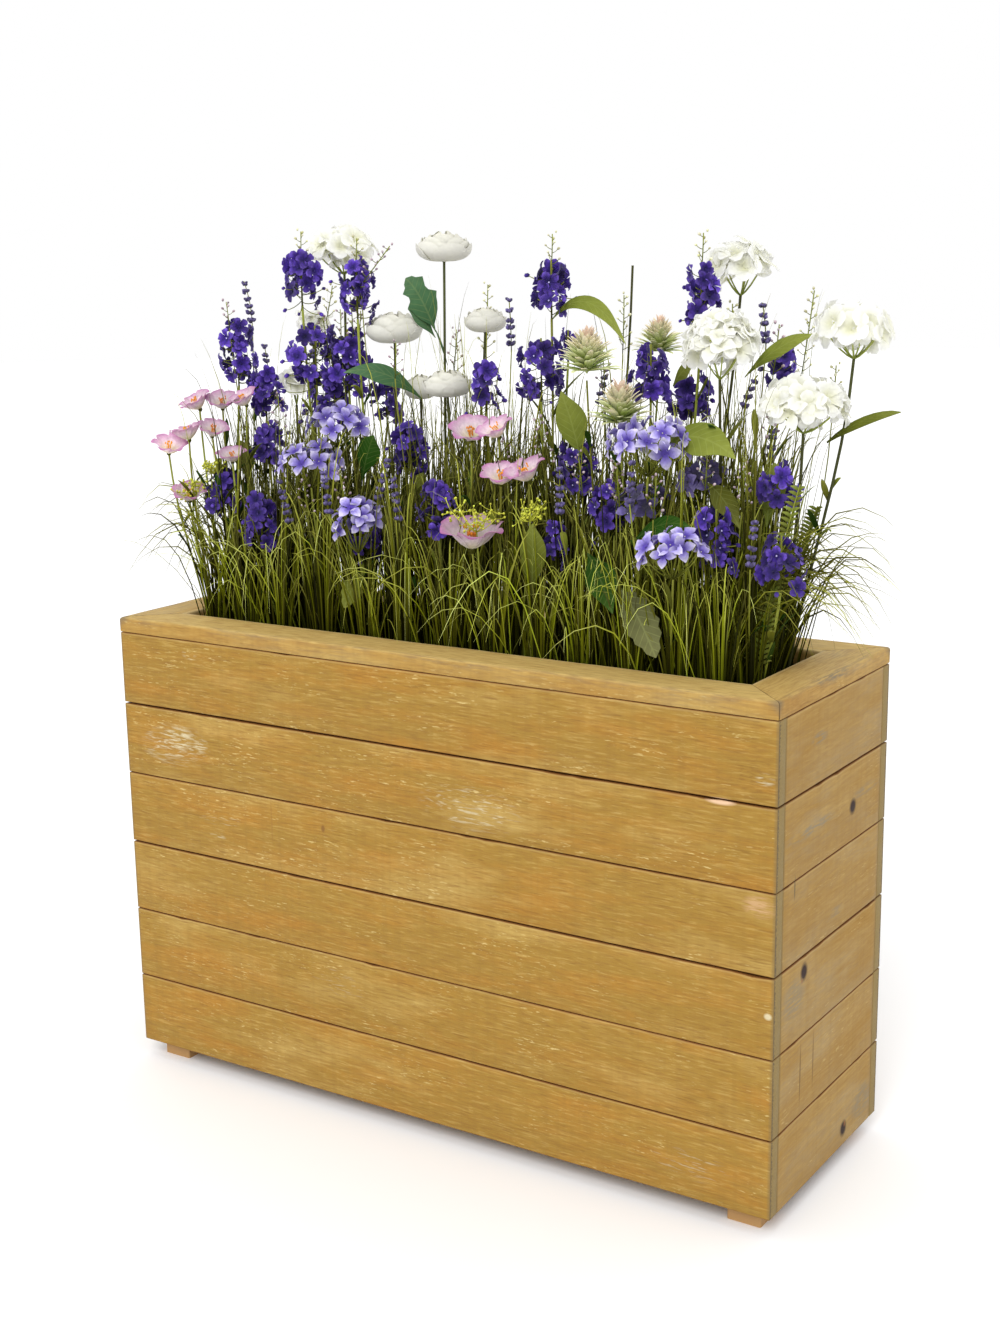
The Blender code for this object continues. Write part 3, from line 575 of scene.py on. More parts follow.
@dataclass(frozen=True)
class Dyed:
    """A finish that is coloured from root to tip, in patches, with lighter and darker copies."""

    name: str
    root: str
    middle: str
    tip: str

    def dye(self, paint: Paint, places: Sequence[float], scale: float, patches: Sequence[float],
            tones: Sequence[float], hues: Sequence[float] = (0.5, 0.5)) -> tuple[bpy.types.Node, ...]:
        """Adds the nodes of the colour.

        Args:
            paint: the material.
            places: how far from the root the root's colour ends and the middle's is reached.
            scale: the patches' scale, per metre.
            patches: from and to which value their noise is read, and how light each end is.
            tones: how light the darkest and the lightest copy are.
            hues: the hues of the darkest and the lightest copy; 0.5 is unchanged.

        Returns:
            The nodes of the marks' parts, of the patches and of the colour.
        """
        place = paint.add("Attribute", attribute_name="place").outputs["Vector"]
        parts = paint.add("SeparateXYZ", (place,))
        stops = [(0.0, self.root), (places[0], self.root), (places[1], self.middle), (1.0, self.tip)]
        ramp = paint.add("ValToRGB", (parts,), stops if places[0] else stops[1:])
        where = paint.add("TexCoord").outputs["Object"]
        patch = paint.add("TexNoise", {"Vector": where, "Scale": scale, "Detail": 2.0})
        shade = paint.add("MapRange", (patch, *patches))
        tone, hue = (
            paint.add("MapRange", {0: parts.outputs["Y"], 3: low, 4: high}) for low, high in (tones, hues))
        value = paint.add("Math", (shade, tone), operation="MULTIPLY")
        return parts, patch, paint.add("HueSaturation", {"Hue": hue, "Value": value, "Color": ramp})


@dataclass(frozen=True)
class PetalCloth(Dyed):
    """Dyed polyester cloth, pressed to petals: matt and soft, with faint pressed veins."""

    vein: float = 0.25
    spread: float = 0.35
    sheer: float = 0.25

    def make(self) -> bpy.types.Material:
        """The material, coloured from each petal's heart to its edge."""
        paint = Paint(self.name)
        # Pressed veins and folds, about 4 mm apart
        _, folds, dyed = self.dye(
            paint, (0.22, 0.55), 260.0, (0.35, 0.7, 1.0 - self.vein, 1.0 + self.vein * 0.5),
            (1.0 - self.spread, 1.0 + self.spread * 0.6))
        bump = paint.add("Bump", {"Height": folds, "Strength": 0.35, "Distance": 0.0006})
        # Thin cloth glows where light falls on its far side
        through = paint.add("BsdfTranslucent", {"Color": dyed})
        both = paint.add("MixShader", (self.sheer, paint.nodes["Principled BSDF"], through))
        paint.fill(paint.nodes["Material Output"], {"Surface": both})
        return paint.finish(Base_Color=dyed, Normal=bump, Roughness=0.72, Sheen_Weight=0.15,
                            Sheen_Roughness=0.5, Specular_IOR_Level=0.3)


@dataclass(frozen=True)
class MouldedGreen(Dyed):
    """Moulded polyethylene greenery: dull and waxy, darker at its root than at its tip; on the grass blades
    that darkening is painted shade.
    """

    spread: float = 0.45
    veins: float = 0.0
    roughness: float = 0.5

    def make(self) -> bpy.types.Material:
        """The material, coloured from root to tip, with leaf veins where it has them."""
        paint = Paint(self.name)
        # Uneven colouring in patches of about 10 mm
        parts, _, colour = self.dye(
            paint, (0.0, 0.45), 100.0, (0.0, 1.0, 0.8, 1.2),
            (1.0 - self.spread, 1.0 + self.spread), (0.485, 0.512))
        relief = {}
        if self.veins:
            # Side veins leave the midrib aslant, about nine to a leaf
            out = paint.add("Math", (parts.outputs["Z"],), operation="ABSOLUTE")
            slant = paint.add("Math", (out, -0.22, parts), operation="MULTIPLY_ADD")
            turns = paint.add("Math", (slant, 58.0), operation="MULTIPLY")
            wave = paint.add("Math", (turns,), operation="SINE")
            line = paint.add("MapRange", (wave, 0.82, 1.0))
            rib = paint.add("MapRange", (out, 0.07, 0.02))
            both = paint.add("Math", (line, rib), operation="MAXIMUM")
            share = paint.add("Math", (both, self.veins), operation="MULTIPLY")
            veined = paint.add("Mix", {0: share, 6: colour, 7: linear("#A9B36C")}, data_type="RGBA")
            colour = veined.outputs[2]
            relief["Normal"] = paint.add("Bump", {"Height": both, "Strength": 0.3, "Distance": 0.0006})
        return paint.finish(Base_Color=colour, Roughness=self.roughness, Specular_IOR_Level=0.05, **relief)


@dataclass(frozen=True)
class PottingMix:
    """Damp bark and coir: near black, with brown crumbs."""

    name: str = "potting_mix"

    def make(self) -> bpy.types.Material:
        """The material, speckled at the size of a crumb, about 5 mm."""
        paint = Paint(self.name)
        where = paint.add("TexCoord").outputs["Object"]
        crumbs = paint.add("TexNoise", {"Vector": where, "Scale": 210.0, "Detail": 5.0})
        ramp = paint.add("ValToRGB", (crumbs,), ((0.35, "#0B0805"), (0.55, "#241A10"), (0.75, "#4A3822")))
        bump = paint.add("Bump", {"Height": crumbs, "Strength": 0.8, "Distance": 0.002})
        return paint.finish(Base_Color=ramp, Normal=bump, Roughness=0.95)


@dataclass(frozen=True)
class Mark:
    """A mark on the wood: an oval round a point, in millimetres, of one colour.

    It is whole, broken up along the fibres, or drawn as rings.
    """

    place: tuple[float, float, float]
    reach: tuple[float, float, float]
    colour: str
    strength: float = 0.9
    broken: float = 0.0
    figure: float = 0.0


@dataclass(frozen=True)
class StainedSoftwood:
    """Rough-planed spruce under a thin honey stain, scuffed in use.

    It reads each board's own attributes. "grain" is along, across and through the board, in
    metres, shifted at random so that no two boards are cut from the same spot. "edges" is the
    height and the length from the board's middle, and 1 on end grain; on the mitred cap it is
    the width and the length from the middle, and the depth below the top face.
    """

    name: str
    pale: str
    honey: str
    orange: str
    scuffs: float
    marks: tuple[Mark, ...] = ()
    half_width: float = 0.05
    half_length: float = 0.5
    grey: float = 0.0
    rubbed: float = 0.0
    painted_top_light: float = 0.0
    fibres: float = 1.0
    mitred: bool = False
    roughness: float = 0.66

    def make(self) -> bpy.types.Material:
        """The material: stain blotches, growth rings, fibres, planer bands, scuffs, worn edges and marks, with
        painted highlights on rounded edges, painted shade along the gaps between boards and painted light on
        the cap's top face.
        """
        paint = Paint(self.name)
        grain = paint.add("Attribute", attribute_name="grain").outputs["Vector"]
        edges = paint.add("Attribute", attribute_name="edges").outputs["Vector"]
        edge = paint.add("SeparateXYZ", (edges,)).outputs
        place = paint.add("TexCoord").outputs["Object"]

        # Features per metre along, across and through the board, and their detail. The fibres
        # are drawn 3 mm apart, coarser than real ones, so that they show
        noises = {}
        for name, stretch, detail in (
            ("wander", (3.0, 13.0, 13.0), 4.0), ("fibre", (36.0, 350.0, 350.0), 3.0),
            ("dash", (34.0, 420.0, 420.0), 1.0), ("blotch", (6.0, 30.0, 30.0), 5.0),
            ("bleach", (4.0, 13.0, 13.0), 3.0), ("planer", (95.0, 3.0, 3.0), 2.0),
            ("fleck", (75.0, 420.0, 420.0), 2.0), ("cluster", (9.0, 24.0, 24.0), 2.0),
            ("streak", (14.0, 150.0, 150.0), 4.0),
        ):
            spread = paint.add("Mapping", {"Vector": grain, "Scale": stretch})
            noises[name] = paint.add("TexNoise", {
                "Vector": spread, "Scale": 1.0, "Detail": detail, "Roughness": 0.6})

        # Growth rings 6 mm apart round a pith beside the board, wandering along it
        parts = paint.add("SeparateXYZ", (grain,))
        flat = paint.add("CombineXYZ", {1: parts.outputs["Y"], 2: parts.outputs["Z"]})
        radius = paint.add("VectorMath", (flat,), operation="LENGTH").outputs["Value"]
        drift = paint.add("Math", (noises["wander"], 0.085, radius), operation="MULTIPLY_ADD")
        turns = paint.add("Math", (drift, math.tau / 0.006), operation="MULTIPLY")
        rings = paint.add("Math", (turns,), operation="SINE")

        # Flecks only within their clusters, greyed wood only where the fibres are torn
        spots = paint.add("MapRange", (noises["fleck"], 0.61, 0.70))
        where = paint.add("MapRange", (noises["cluster"], 0.49, 0.62))
        flecks = paint.add("Math", (spots, where), operation="MULTIPLY")
        torn = paint.add("MapRange", (noises["fibre"], 0.40, 0.58, 0.1, 1.0))
        faded = paint.add("MapRange", (noises["bleach"], 0.44, 0.64))
        greyed = paint.add("Math", (faded, torn), operation="MULTIPLY")
        # What lies over the stain: where it is read, from and to which value it comes in, how
        # much of it at most, and its colour
        layers = [
            (noises["blotch"], 0.45, 0.68, 0.95, self.orange), (noises["bleach"], 0.52, 0.72, 0.75, self.pale),
            (noises["streak"], 0.52, 0.74, 0.14, "#8A6A2E"), (noises["streak"], 0.46, 0.30, 0.13, "#CDAF66"),
            (rings, 0.1, 1.0, 0.18, "#8C6426"), (noises["fibre"], 0.53, 0.65, 0.34 * self.fibres, "#80592A"),
            (noises["fibre"], 0.45, 0.32, 0.24 * self.fibres, "#D2B46E"),
            (noises["dash"], 0.63, 0.71, 0.34 * self.fibres, "#6E4A1E"),
            (noises["planer"], 0.42, 0.66, 0.16, "#80622E"), (flecks, 0.0, 1.0, self.scuffs, "#D8C182"),
            (greyed, 0.0, 1.0, self.grey, "#8D8066"),
        ]
        rim = paint.add("Math", (edge["X"],), operation="ABSOLUTE")
        rim = paint.add("Math", (noises["fibre"], 0.0012, rim), operation="MULTIPLY_ADD")
        tip = paint.add("Math", (edge["Y"],), operation="ABSOLUTE")
        if self.mitred:
            # Bare greyed wood where hands and pots rub the outer edge, and the dark line of the mitre
            outer = paint.add("Math", (edge["X"], self.half_width), operation="ADD")
            rub = paint.add("Math", (outer, edge["Z"]), operation="ADD")
            near = paint.add("MapRange", (rub, 0.011, 0.002))
            patch = paint.add("MapRange", (noises["cluster"], 0.38, 0.56))
            patch = paint.add("Math", (near, patch), operation="MULTIPLY")
            worn = paint.add("Math", (patch, torn), operation="MULTIPLY")
            joint = paint.add("Math", (tip, outer), operation="ADD")
            corner = paint.add("Math", (tip, rub), operation="SUBTRACT")
            inner = paint.add("Math", (edge["X"], edge["Z"]), operation="SUBTRACT")
            # Painted light: the top face is painted paler, broken along the fibres, where light falls on it
            top = paint.add("MapRange", (edge["Z"], 0.003, 0.0))
            show = paint.add("MapRange", (noises["fibre"], 0.38, 0.60, 1.0, 0.4))
            lit_top = paint.add("Math", (top, show), operation="MULTIPLY")
            layers += [
                (lit_top, 0.0, 1.0, self.painted_top_light, "#CDB06C"), (worn, 0.0, 1.0, self.rubbed, "#736C5C"),
                (corner, self.half_length - 0.020, self.half_length - 0.008, 0.6, "#6F6450"),
                # Painted highlight along the rounded inner edge of the top
                (inner, self.half_width - 0.0065, self.half_width - 0.002, 0.45, "#DCC694"),
                (joint, self.half_length - 0.0012, self.half_length - 0.0003, 0.75, "#4E3A1E"),
            ]
        else:
            deep = paint.add("SeparateXYZ", (place,))
            front = paint.add("Math", (deep.outputs["Y"],), operation="ABSOLUTE")
            layers += [
                # Painted highlight: a pale band just below each board's rounded top edge
                (edge["X"], self.half_width - 0.0038, self.half_width - 0.0020, 0.14, "#DCC48C"),
                # Painted shade: dark brown along both long edges, standing in for the shade in the gaps between
                # boards
                (rim, self.half_width - 0.0008, self.half_width + 0.0004, 0.85, "#6B3A12"),
                (tip, self.half_length - 0.0045, self.half_length - 0.0010, 0.65, "#7A6640"),
                (edge["Z"], 0.0, 1.0, 1.0, "#8B7647"),
            ]
            ragged = paint.add("Math", (noises["fleck"], 0.012, front), operation="MULTIPLY_ADD")
            end_line = paint.add("MapRange", (ragged, BOX_HIGH.y + 0.0010, BOX_HIGH.y + 0.0040))
            end_line = paint.add("Math", (end_line, edge["Z"]), operation="MULTIPLY")
            end_grain = paint.add("Math", (noises["fleck"], edge["Z"]), operation="MULTIPLY")
            layers += [(end_grain, 0.40, 0.66, 0.5, "#7A6640"), (end_line, 0.0, 1.0, 0.85, "#5A4C38")]
        for mark in self.marks:
            size = tuple(1.0 / (reach * MM) for reach in mark.reach)
            scaled = paint.add("VectorMath", {
                0: place, 1: size, 2: tuple(-at / reach for at, reach in zip(mark.place, mark.reach))},
                operation="MULTIPLY_ADD")
            away = paint.add("VectorMath", (scaled,), operation="LENGTH").outputs["Value"]
            inside = paint.add("MapRange", (away, 1.0, 0.5))
            if mark.broken:
                holes = paint.add("MapRange", (noises["fibre"], mark.broken, mark.broken + 0.12))
                inside = paint.add("Math", (inside, holes), operation="MULTIPLY")
            if mark.figure:
                phase = paint.add("Math", (noises["blotch"], noises["streak"]), operation="ADD")
                phase = paint.add("Math", (phase, 24.0), operation="MULTIPLY")
                phase = paint.add("Math", (away, math.tau * mark.figure, phase), operation="MULTIPLY_ADD")
                lines = paint.add("Math", (phase,), operation="SINE")
                lines = paint.add("MapRange", (lines, 0.1, 0.8))
                inside = paint.add("Math", (inside, lines), operation="MULTIPLY")
            layers.append((inside, 0.0, 1.0, mark.strength, mark.colour))

        colour = linear(self.honey)
        for source, low, high, most, tint in layers:
            share = paint.add("MapRange", {0: source, 1: low, 2: high, 4: most})
            mix = paint.add("Mix", {0: share, 6: colour, 7: linear(tint)}, data_type="RGBA")
            colour = mix.outputs[2]
        height = paint.add("Math", (noises["fibre"], 0.6, noises["planer"]), operation="MULTIPLY_ADD")
        bump = paint.add("Bump", {"Height": height, "Strength": 0.35, "Distance": 0.0008})
        gloss = paint.add("MapRange", {
            0: noises["blotch"], 1: 0.3, 2: 0.7, 3: self.roughness - 0.08, 4: self.roughness + 0.1})
        return paint.finish(Base_Color=colour, Normal=bump, Roughness=gloss, Specular_IOR_Level=0.22)


KNOT = "#2E1A12"
BLUE_STAIN = "#827862"
BARE = "#D2C7A4"
FRONT_Y = BOX_LOW.y / MM
SIDE_X = BOX_HIGH.x / MM
# Each mark of the front is its x, z, width, height, colour, strength, and how broken and ringed it is
FRONT_MARKS = tuple(Mark((x, FRONT_Y, z), (wide, 4, high), *look) for x, z, wide, high, *look in (
    (-399, 497, 30, 18, BARE, 0.7, 0.44),
    (-362, 492, 16, 12, BARE, 0.65, 0.46),
    (-408, 484, 66, 36, BARE, 0.5, 0.44, 3.0),
    (-425, 480, 52, 26, BARE, 0.3, 0.50),
    (84, 470, 84, 34, BARE, 0.45, 0.45, 3.0),
    (84, 470, 60, 26, BARE, 0.3, 0.52),
    (472, 568, 34, 34, "#7E5A28", 0.4, 0.42, 2.5),
    (484, 566, 14, 9, BARE, 0.6, 0.5),
    (-372, 617, 16, 9, BARE, 0.7, 0.52),
    (-338, 364, 16, 6, BARE, 0.6, 0.5),
    (-330, 388, 50, 10, BARE, 0.5, 0.56),
    (429, 533, 22, 5, "#D9B694", 0.95),
    (480, 415, 24, 16, "#C9A27A", 0.6, 0.42),
    (493, 283, 6, 5, BARE, 0.8),
    (-152, 405, 4, 6, "#7A5428", 0.8),
    (-240, 400, 2, 40, "#8A642F", 0.35),
    (-133, 188, 50, 24, BARE, 0.45, 0.58),
    (395, 69, 60, 22, BARE, 0.45, 0.57),
    (-183, 563, 70, 12, "#B07A30", 0.2),
))
# Each mark of the right side is its y, z, depth, width, height, colour, strength, and how broken it is
SIDE_MARKS = tuple(Mark((SIDE_X, y, z), (deep, wide, high), *look) for y, z, deep, wide, high, *look in (
    (57, 478, 5, 12, 12, KNOT, 1.0),
    (-81, 310, 5, 12, 14, KNOT, 1.0),
    (-86, 300, 4, 3, 4, "#8C5A30", 0.8),
    (56, 48, 5, 12, 13, KNOT, 1.0),
    (60, 53, 4, 3, 5, "#8C5A30", 0.8),
    (-70, 484, 6, 80, 9, BLUE_STAIN, 0.7, 0.42),
    (100, 490, 6, 50, 8, BLUE_STAIN, 0.55, 0.44),
    (-50, 590, 6, 26, 10, BLUE_STAIN, 0.7, 0.42),
    (-110, 285, 6, 40, 30, BLUE_STAIN, 0.55, 0.36),
    (118, 62, 6, 40, 28, BLUE_STAIN, 0.6, 0.38),
    (10, 355, 6, 30, 10, BLUE_STAIN, 0.45, 0.44),
    (-86, 180, 4, 2.4, 46, "#6E5228", 0.75),
    (-48, 185, 4, 2.4, 46, "#6E5228", 0.65),
    (-113, 425, 4, 2.2, 18, "#5E5238", 0.8),
))
PLANT_FINISHES = {
    # The violet cloth darkens towards each petal's heart, partly its own colour and partly painted shade that
    # gives the florets depth
    "violet": PetalCloth("violet_petal_cloth", "#2C1872", "#482A9C", "#7256C4", 0.45, 0.6, 0.2),
    "white": PetalCloth("white_petal_cloth", "#F4F4E2", "#FDFDF6", "#FFFFFF", 0.03, 0.04, 0.6),
    "cream": PetalCloth("cream_petal_cloth", "#DFDFC4", "#EBE9DC", "#F1F0E8", 0.03, 0.05, 0.35),
    "pink": PetalCloth("pink_petal_cloth", "#F6F0D2", "#FAEAF3", "#CE7ABA", 0.12, 0.2, 0.35),
    "lilac": PetalCloth("lilac_petal_cloth", "#5F4AB2", "#A699E2", "#F1ECFF", 0.22, 0.32, 0.3),
    "cream_bract": PetalCloth("cream_bract_cloth", "#C3CB8C", "#E6E6C4", "#FBF2E0", 0.06, 0.12, 0.5),
    "blush_bract": PetalCloth("blush_bract_cloth", "#E9CDA6", "#F2DCC4", "#FAEBDC", 0.06, 0.10, 0.45),
    "green_bract": MouldedGreen("green_bract", "#8C9A4E", "#ABB76E", "#DFE0B4", 0.2),
    "lavender": PetalCloth("lavender_bud_flock", "#55506A", "#5A4E8A", "#7F75A4", 0.3, 0.5),
    "bud": MouldedGreen("pale_bud", "#A9A86E", "#C9C79A", "#E9E5D2", 0.25),
    "blush_bud": MouldedGreen("blush_bud", "#7E6A72", "#A08A94", "#C8BAC0", 0.3),
    "filler": MouldedGreen("yellow_green_berry", "#8F8F2C", "#B6BA3C", "#DADE5C", 0.25),
    "stamen": MouldedGreen("orange_stamen", "#E8A23A", "#EE8E2C", "#E9742A", 0.2),
    "heart": MouldedGreen("green_yellow_heart", "#B9C05A", "#C9CC6A", "#D9D98A", 0.2),
    "heart_stalk": MouldedGreen("pale_green_stalk", "#6E7A30", "#8C9648", "#A8AE66", 0.2),
    "light_heart": MouldedGreen("pale_violet_heart", "#B9B0E0", "#D6D0F0", "#EDEAFB", 0.2),
    "stem": MouldedGreen("green_stem", "#34360F", "#666B22", "#868A3A", 0.35),
    "dark_stem": MouldedGreen("dark_stem", "#23240F", "#34361F", "#484A2C", 0.25),
    # The grass blade darkens to near black at its root: painted shade low among the blades
    "grass": MouldedGreen("grass_blade", "#131401", "#5C5F0A", "#A8A94C", 0.85, roughness=0.6),
    # Painted shade: a darker copy of the grass for blades that stand in shade
    "deep_grass": MouldedGreen("shaded_grass_blade", "#050501", "#252703", "#7E7F3A", 0.6),
    # Painted light: a lighter copy of the grass for blades that catch the light
    "light_grass": MouldedGreen("sunlit_grass_blade", "#5C6112", "#959C2A", "#D2D680", 0.4, roughness=0.6),
    "dark_leaf": MouldedGreen("dark_green_leaf", "#2C482C", "#3E5E3E", "#4C6A4A", 0.3, 0.10),
    "deep_leaf": MouldedGreen("deep_green_leaf", "#183206", "#233F0D", "#324C18", 0.3, 0.08),
    "bright_leaf": MouldedGreen("bright_green_leaf", "#566020", "#6E772F", "#7F873C", 0.3, 0.12),
    "olive_leaf": MouldedGreen("olive_leaf", "#3C410D", "#555B1C", "#6C7230", 0.4, 0.1),
    "pale_leaf": MouldedGreen("grey_green_leaf", "#45482D", "#5A5C38", "#6A6C45", 0.3, 0.15),
}


class Finishes:
    """Every finish of the planter, each made once."""

    def __init__(self) -> None:
        """Makes the materials."""
        side_length = (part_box("left_board_1")[1].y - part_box("left_board_1")[0].y) / 2
        self.long_boards = StainedSoftwood(
            "honey_stained_spruce", "#B0924F", "#987630", "#A4762E", 0.62, FRONT_MARKS).make()
        self.short_boards = StainedSoftwood(
            "weathered_stained_spruce", "#AA8F5D", "#9E7D41", "#9A7638", 0.3, SIDE_MARKS,
            half_length=side_length, grey=0.30, fibres=0.45).make()
        self.long_cap = StainedSoftwood(
            "rubbed_stained_spruce", "#B89A58", "#AC8844", "#A47A38", 0.4,
            half_width=CAP_WIDTH / 2, grey=0.18, rubbed=0.35, painted_top_light=0.92, fibres=0.8, mitred=True).make()
        self.short_cap = StainedSoftwood(
            "greyed_stained_spruce", "#BC9F64", "#B08C4A", "#A67E40", 0.5,
            half_width=CAP_WIDTH / 2, half_length=BOX_HIGH.y, grey=0.45, rubbed=0.95, painted_top_light=0.5, fibres=0.8,
            mitred=True).make()
        self.raw = StainedSoftwood(
            "bare_spruce", "#C8AA7C", "#B89262", "#A87C4A", 0.3, half_width=9.0, half_length=9.0).make()
        self.soil = PottingMix().make()
        for name, finish in PLANT_FINISHES.items():
            setattr(self, name, finish.make())


@dataclass
class Worn:
    """Wood that is modelled once and copied, worn, to the place of each solid."""

    finishes: Finishes
    section: float = 14.0

    def section_cuts(self, length: float) -> None:
        """Cuts the piece in edit mode in short sections along X."""
        sections = round(length / (self.section * MM))
        cut([length * (i / sections - 0.5) for i in range(1, sections)], X_AXIS)

    def copy(self, master: bpy.types.Object, node: str, turn: float, material: bpy.types.Material,
             slot: str, sharp: float, *wear: float) -> None:
        """Puts a worn copy of the master in a solid's place.

        Args:
            master: the clean piece, along X round its own middle.
            node: the solid.
            turn: how far the copy is turned round +Z.
            material: its finish.
            slot: the record's material slot.
            sharp: the angle in degrees from which its edges stay sharp.
            wear: its seed, and whatever else weather() takes.
        """
        low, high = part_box(node)
        mesh = master.data.copy()
        mesh.name = f"worn_{node}"
        self.weather(mesh, *wear)
        mesh.transform(Matrix.Translation((low + high) / 2) @ Matrix.Rotation(turn, 4, "Z"))
        mesh.materials.append(material)
        mesh.shade_smooth()
        mesh.set_sharp_from_angle(angle=math.radians(sharp))
        settle(new_object(mesh.name, mesh), slot, node)


@dataclass
class Boards(Worn):
    """The wall boards, worn at their edges and a little wavy, one course above another.

    The sizes are in millimetres. Each course's swollen value is how far its top edge
    stands up into the gap above.
    """

    eased: float = 1.3
    wave: float = 0.4
    chip: float = 1.3
    swollen: tuple[float, ...] = (0.9, 1.2, 0.2, 1.2, 0.1, 0.0)

    def model(self, size: Place) -> bpy.types.Object:
        """Models a board along X round its own middle.

        Args:
            size: its length, thickness and height, in metres.

        Returns:
            The board, its edges eased and its length cut in sections.
        """
        deselect_everything()
        bpy.ops.mesh.primitive_cube_add(size=1.0)
        board = bpy.context.object
        bpy.ops.object.mode_set(mode="EDIT")
        resize(*size)
        bpy.ops.mesh.bevel(offset=self.eased * MM, segments=2, affect="EDGES")
        self.section_cuts(size[0])
        bpy.ops.object.mode_set(mode="OBJECT")
        return board

    def weather(self, mesh: bpy.types.Mesh, seed: int, swollen: float) -> None:
        """Waves the long edges, chips them, and writes the attributes that the finish reads.

        Args:
            mesh: a board along X round its own middle.
            seed: which waves and chips it gets.
            swollen: how far its top edge stands up into the gap above, in millimetres.
        """
        draw = random.Random(seed)
        points = read(mesh.vertices, "co", 3)
        half = np.abs(points).max(axis=0)
        inward = half - np.abs(points)
        edges = np.column_stack([points[:, 2], points[:, 0], (inward[:, 0] < 0.3 * MM).astype(float)])
        shift = (draw.uniform(0, 9), draw.uniform(-0.03, 0.03), draw.uniform(0.022, 0.06))
        grain = np.column_stack([points[:, 0], points[:, 2], points[:, 1]]) + np.array(shift)
        chips = [(draw.uniform(-half[0], half[0]), draw.choice((-1, 1))) for _ in range(5)]
        for i, (x, y, z) in enumerate(points):
            edge = max(0.0, 1.0 - inward[i, 2] / 0.012)
            wave = noise.noise(Vector((x * 7.0, z * 3.0, seed * 3.7))) * self.wave
            bow = noise.noise(Vector((x * 2.2, 5.0, seed * 1.9))) * self.wave
            swell = swollen * (0.5 + 0.5 * z / half[2])
            points[i, 2] += (wave * edge * (1 if z > 0 else 0.4) + bow * 0.8 + swell) * MM
            points[i, 1] += noise.noise(Vector((x * 9.0, z * 14.0, seed * 5.1))) * 0.35 * MM
            for place, side in chips:
                bite = max(0.0, 1.0 - abs(x - place) / 0.016)
                if side * z > 0 and edge > 0.85 and y * side < 0:
                    points[i, 2] -= side * bite * self.chip * MM
        mesh.vertices.foreach_set("co", points.ravel())
        mark(mesh, "grain", grain)
        mark(mesh, "edges", edges)
        mesh.update()

    def build(self) -> None:
        """Copies a long and a short board to every course."""
        for walls, material, slot, turn, first_seed in (
            (("front", "back"), self.finishes.long_boards, "stained_boards", 0.0, 3),
            (("left", "right"), self.finishes.short_boards, "pale_side_boards", math.pi / 2, 5),
        ):
            low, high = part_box(f"{walls[0]}_board_1")
            size = high - low
            master = self.model((max(size.x, size.y), min(size.x, size.y), size.z))
            for number, wall in enumerate(walls):
                for course, swollen in enumerate(self.swollen, 1):
                    self.copy(master, f"{wall}_board_{course}", turn, material, slot, 50,
                              10 * course + number + first_seed, swollen)
            bpy.data.objects.remove(master)


@dataclass
class Cap(Worn):
    """The mitred rim, rounded at its outer edge by wear. Its sizes are in metres."""

    section: float = 15.0
    round_edge: float = 0.0042
    eased: float = 0.0013
    width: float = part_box("cap_front")[1].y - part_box("cap_front")[0].y
    thickness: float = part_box("cap_front")[1].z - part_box("cap_front")[0].z

    def model(self, length: float) -> bpy.types.Object:
        """Models a mitred piece along X, its outer edge at -Y.

        Args:
            length: its outer length, in metres.

        Returns:
            The piece round its own middle.
        """
        deselect_everything()
        bpy.ops.mesh.primitive_cube_add(size=1.0)
        cap = bpy.context.object
        bpy.ops.object.mode_set(mode="EDIT")
        resize(length, self.width, self.thickness)
        for end in (-1, 1):
            pick(cap, lambda co, end=end: co.y > 0 and co.x * end > 0)
            bpy.ops.transform.translate(value=(-end * self.width, 0.0, 0.0))
        for test, offset, segments in (
            (lambda co: co.y < 0 and co.z > 0, self.round_edge, 4),
            (lambda co: co.y > 0 and co.z > 0, 2 * self.eased, 3),
            (lambda co: co.z < 0, self.eased, 2),
        ):
            pick(cap, test)
            bpy.ops.mesh.bevel(offset=offset, segments=segments, affect="EDGES")
        self.section_cuts(length)
        cut([share * self.width for share in (-0.25, 0.0, 0.25)], Y_AXIS)
        bpy.ops.object.mode_set(mode="OBJECT")
        return cap

    def weather(self, mesh: bpy.types.Mesh, seed: int) -> None:
        """Waves the worn edges a little and writes the grain.

        Args:
            mesh: a piece round its own middle, its outer edge at -Y.
            seed: which waves it gets.
        """
        draw = random.Random(seed)
        shift = Vector((draw.uniform(0, 9), draw.uniform(-0.02, 0.03), draw.uniform(0.02, 0.05)))
        grain, edges = [], []
        for vertex in mesh.vertices:
            x, y, z = vertex.co
            grain.append(vertex.co + shift)
            edges.append((y, x, self.thickness / 2 - z))
            wave = noise.noise(Vector((x * 12.0, y * 40.0, seed * 2.3)))
            if z > 0:
                vertex.co.z += wave * 0.5 * MM
            if y + self.width / 2 < 0.006:
                vertex.co.y += noise.noise(Vector((x * 20.0, z * 60.0, seed))) * 0.5 * MM
        mark(mesh, "grain", np.array(grain))
        mark(mesh, "edges", np.array(edges))
        mesh.update()

    def build(self) -> None:
        """Copies the long and the short piece to the four sides."""
        for sides, material in (
            ({"front": 0.0, "back": math.pi}, self.finishes.long_cap),
            ({"left": -math.pi / 2, "right": math.pi / 2}, self.finishes.short_cap),
        ):
            low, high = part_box(f"cap_{next(iter(sides))}")
            master = self.model(max(high.x - low.x, high.y - low.y))
            for side, turn in sides.items():
                node = f"cap_{side}"
                self.copy(master, node, turn, material, "rim_cap", 45, 70 + len(node) + ord(side[0]))
            bpy.data.objects.remove(master)


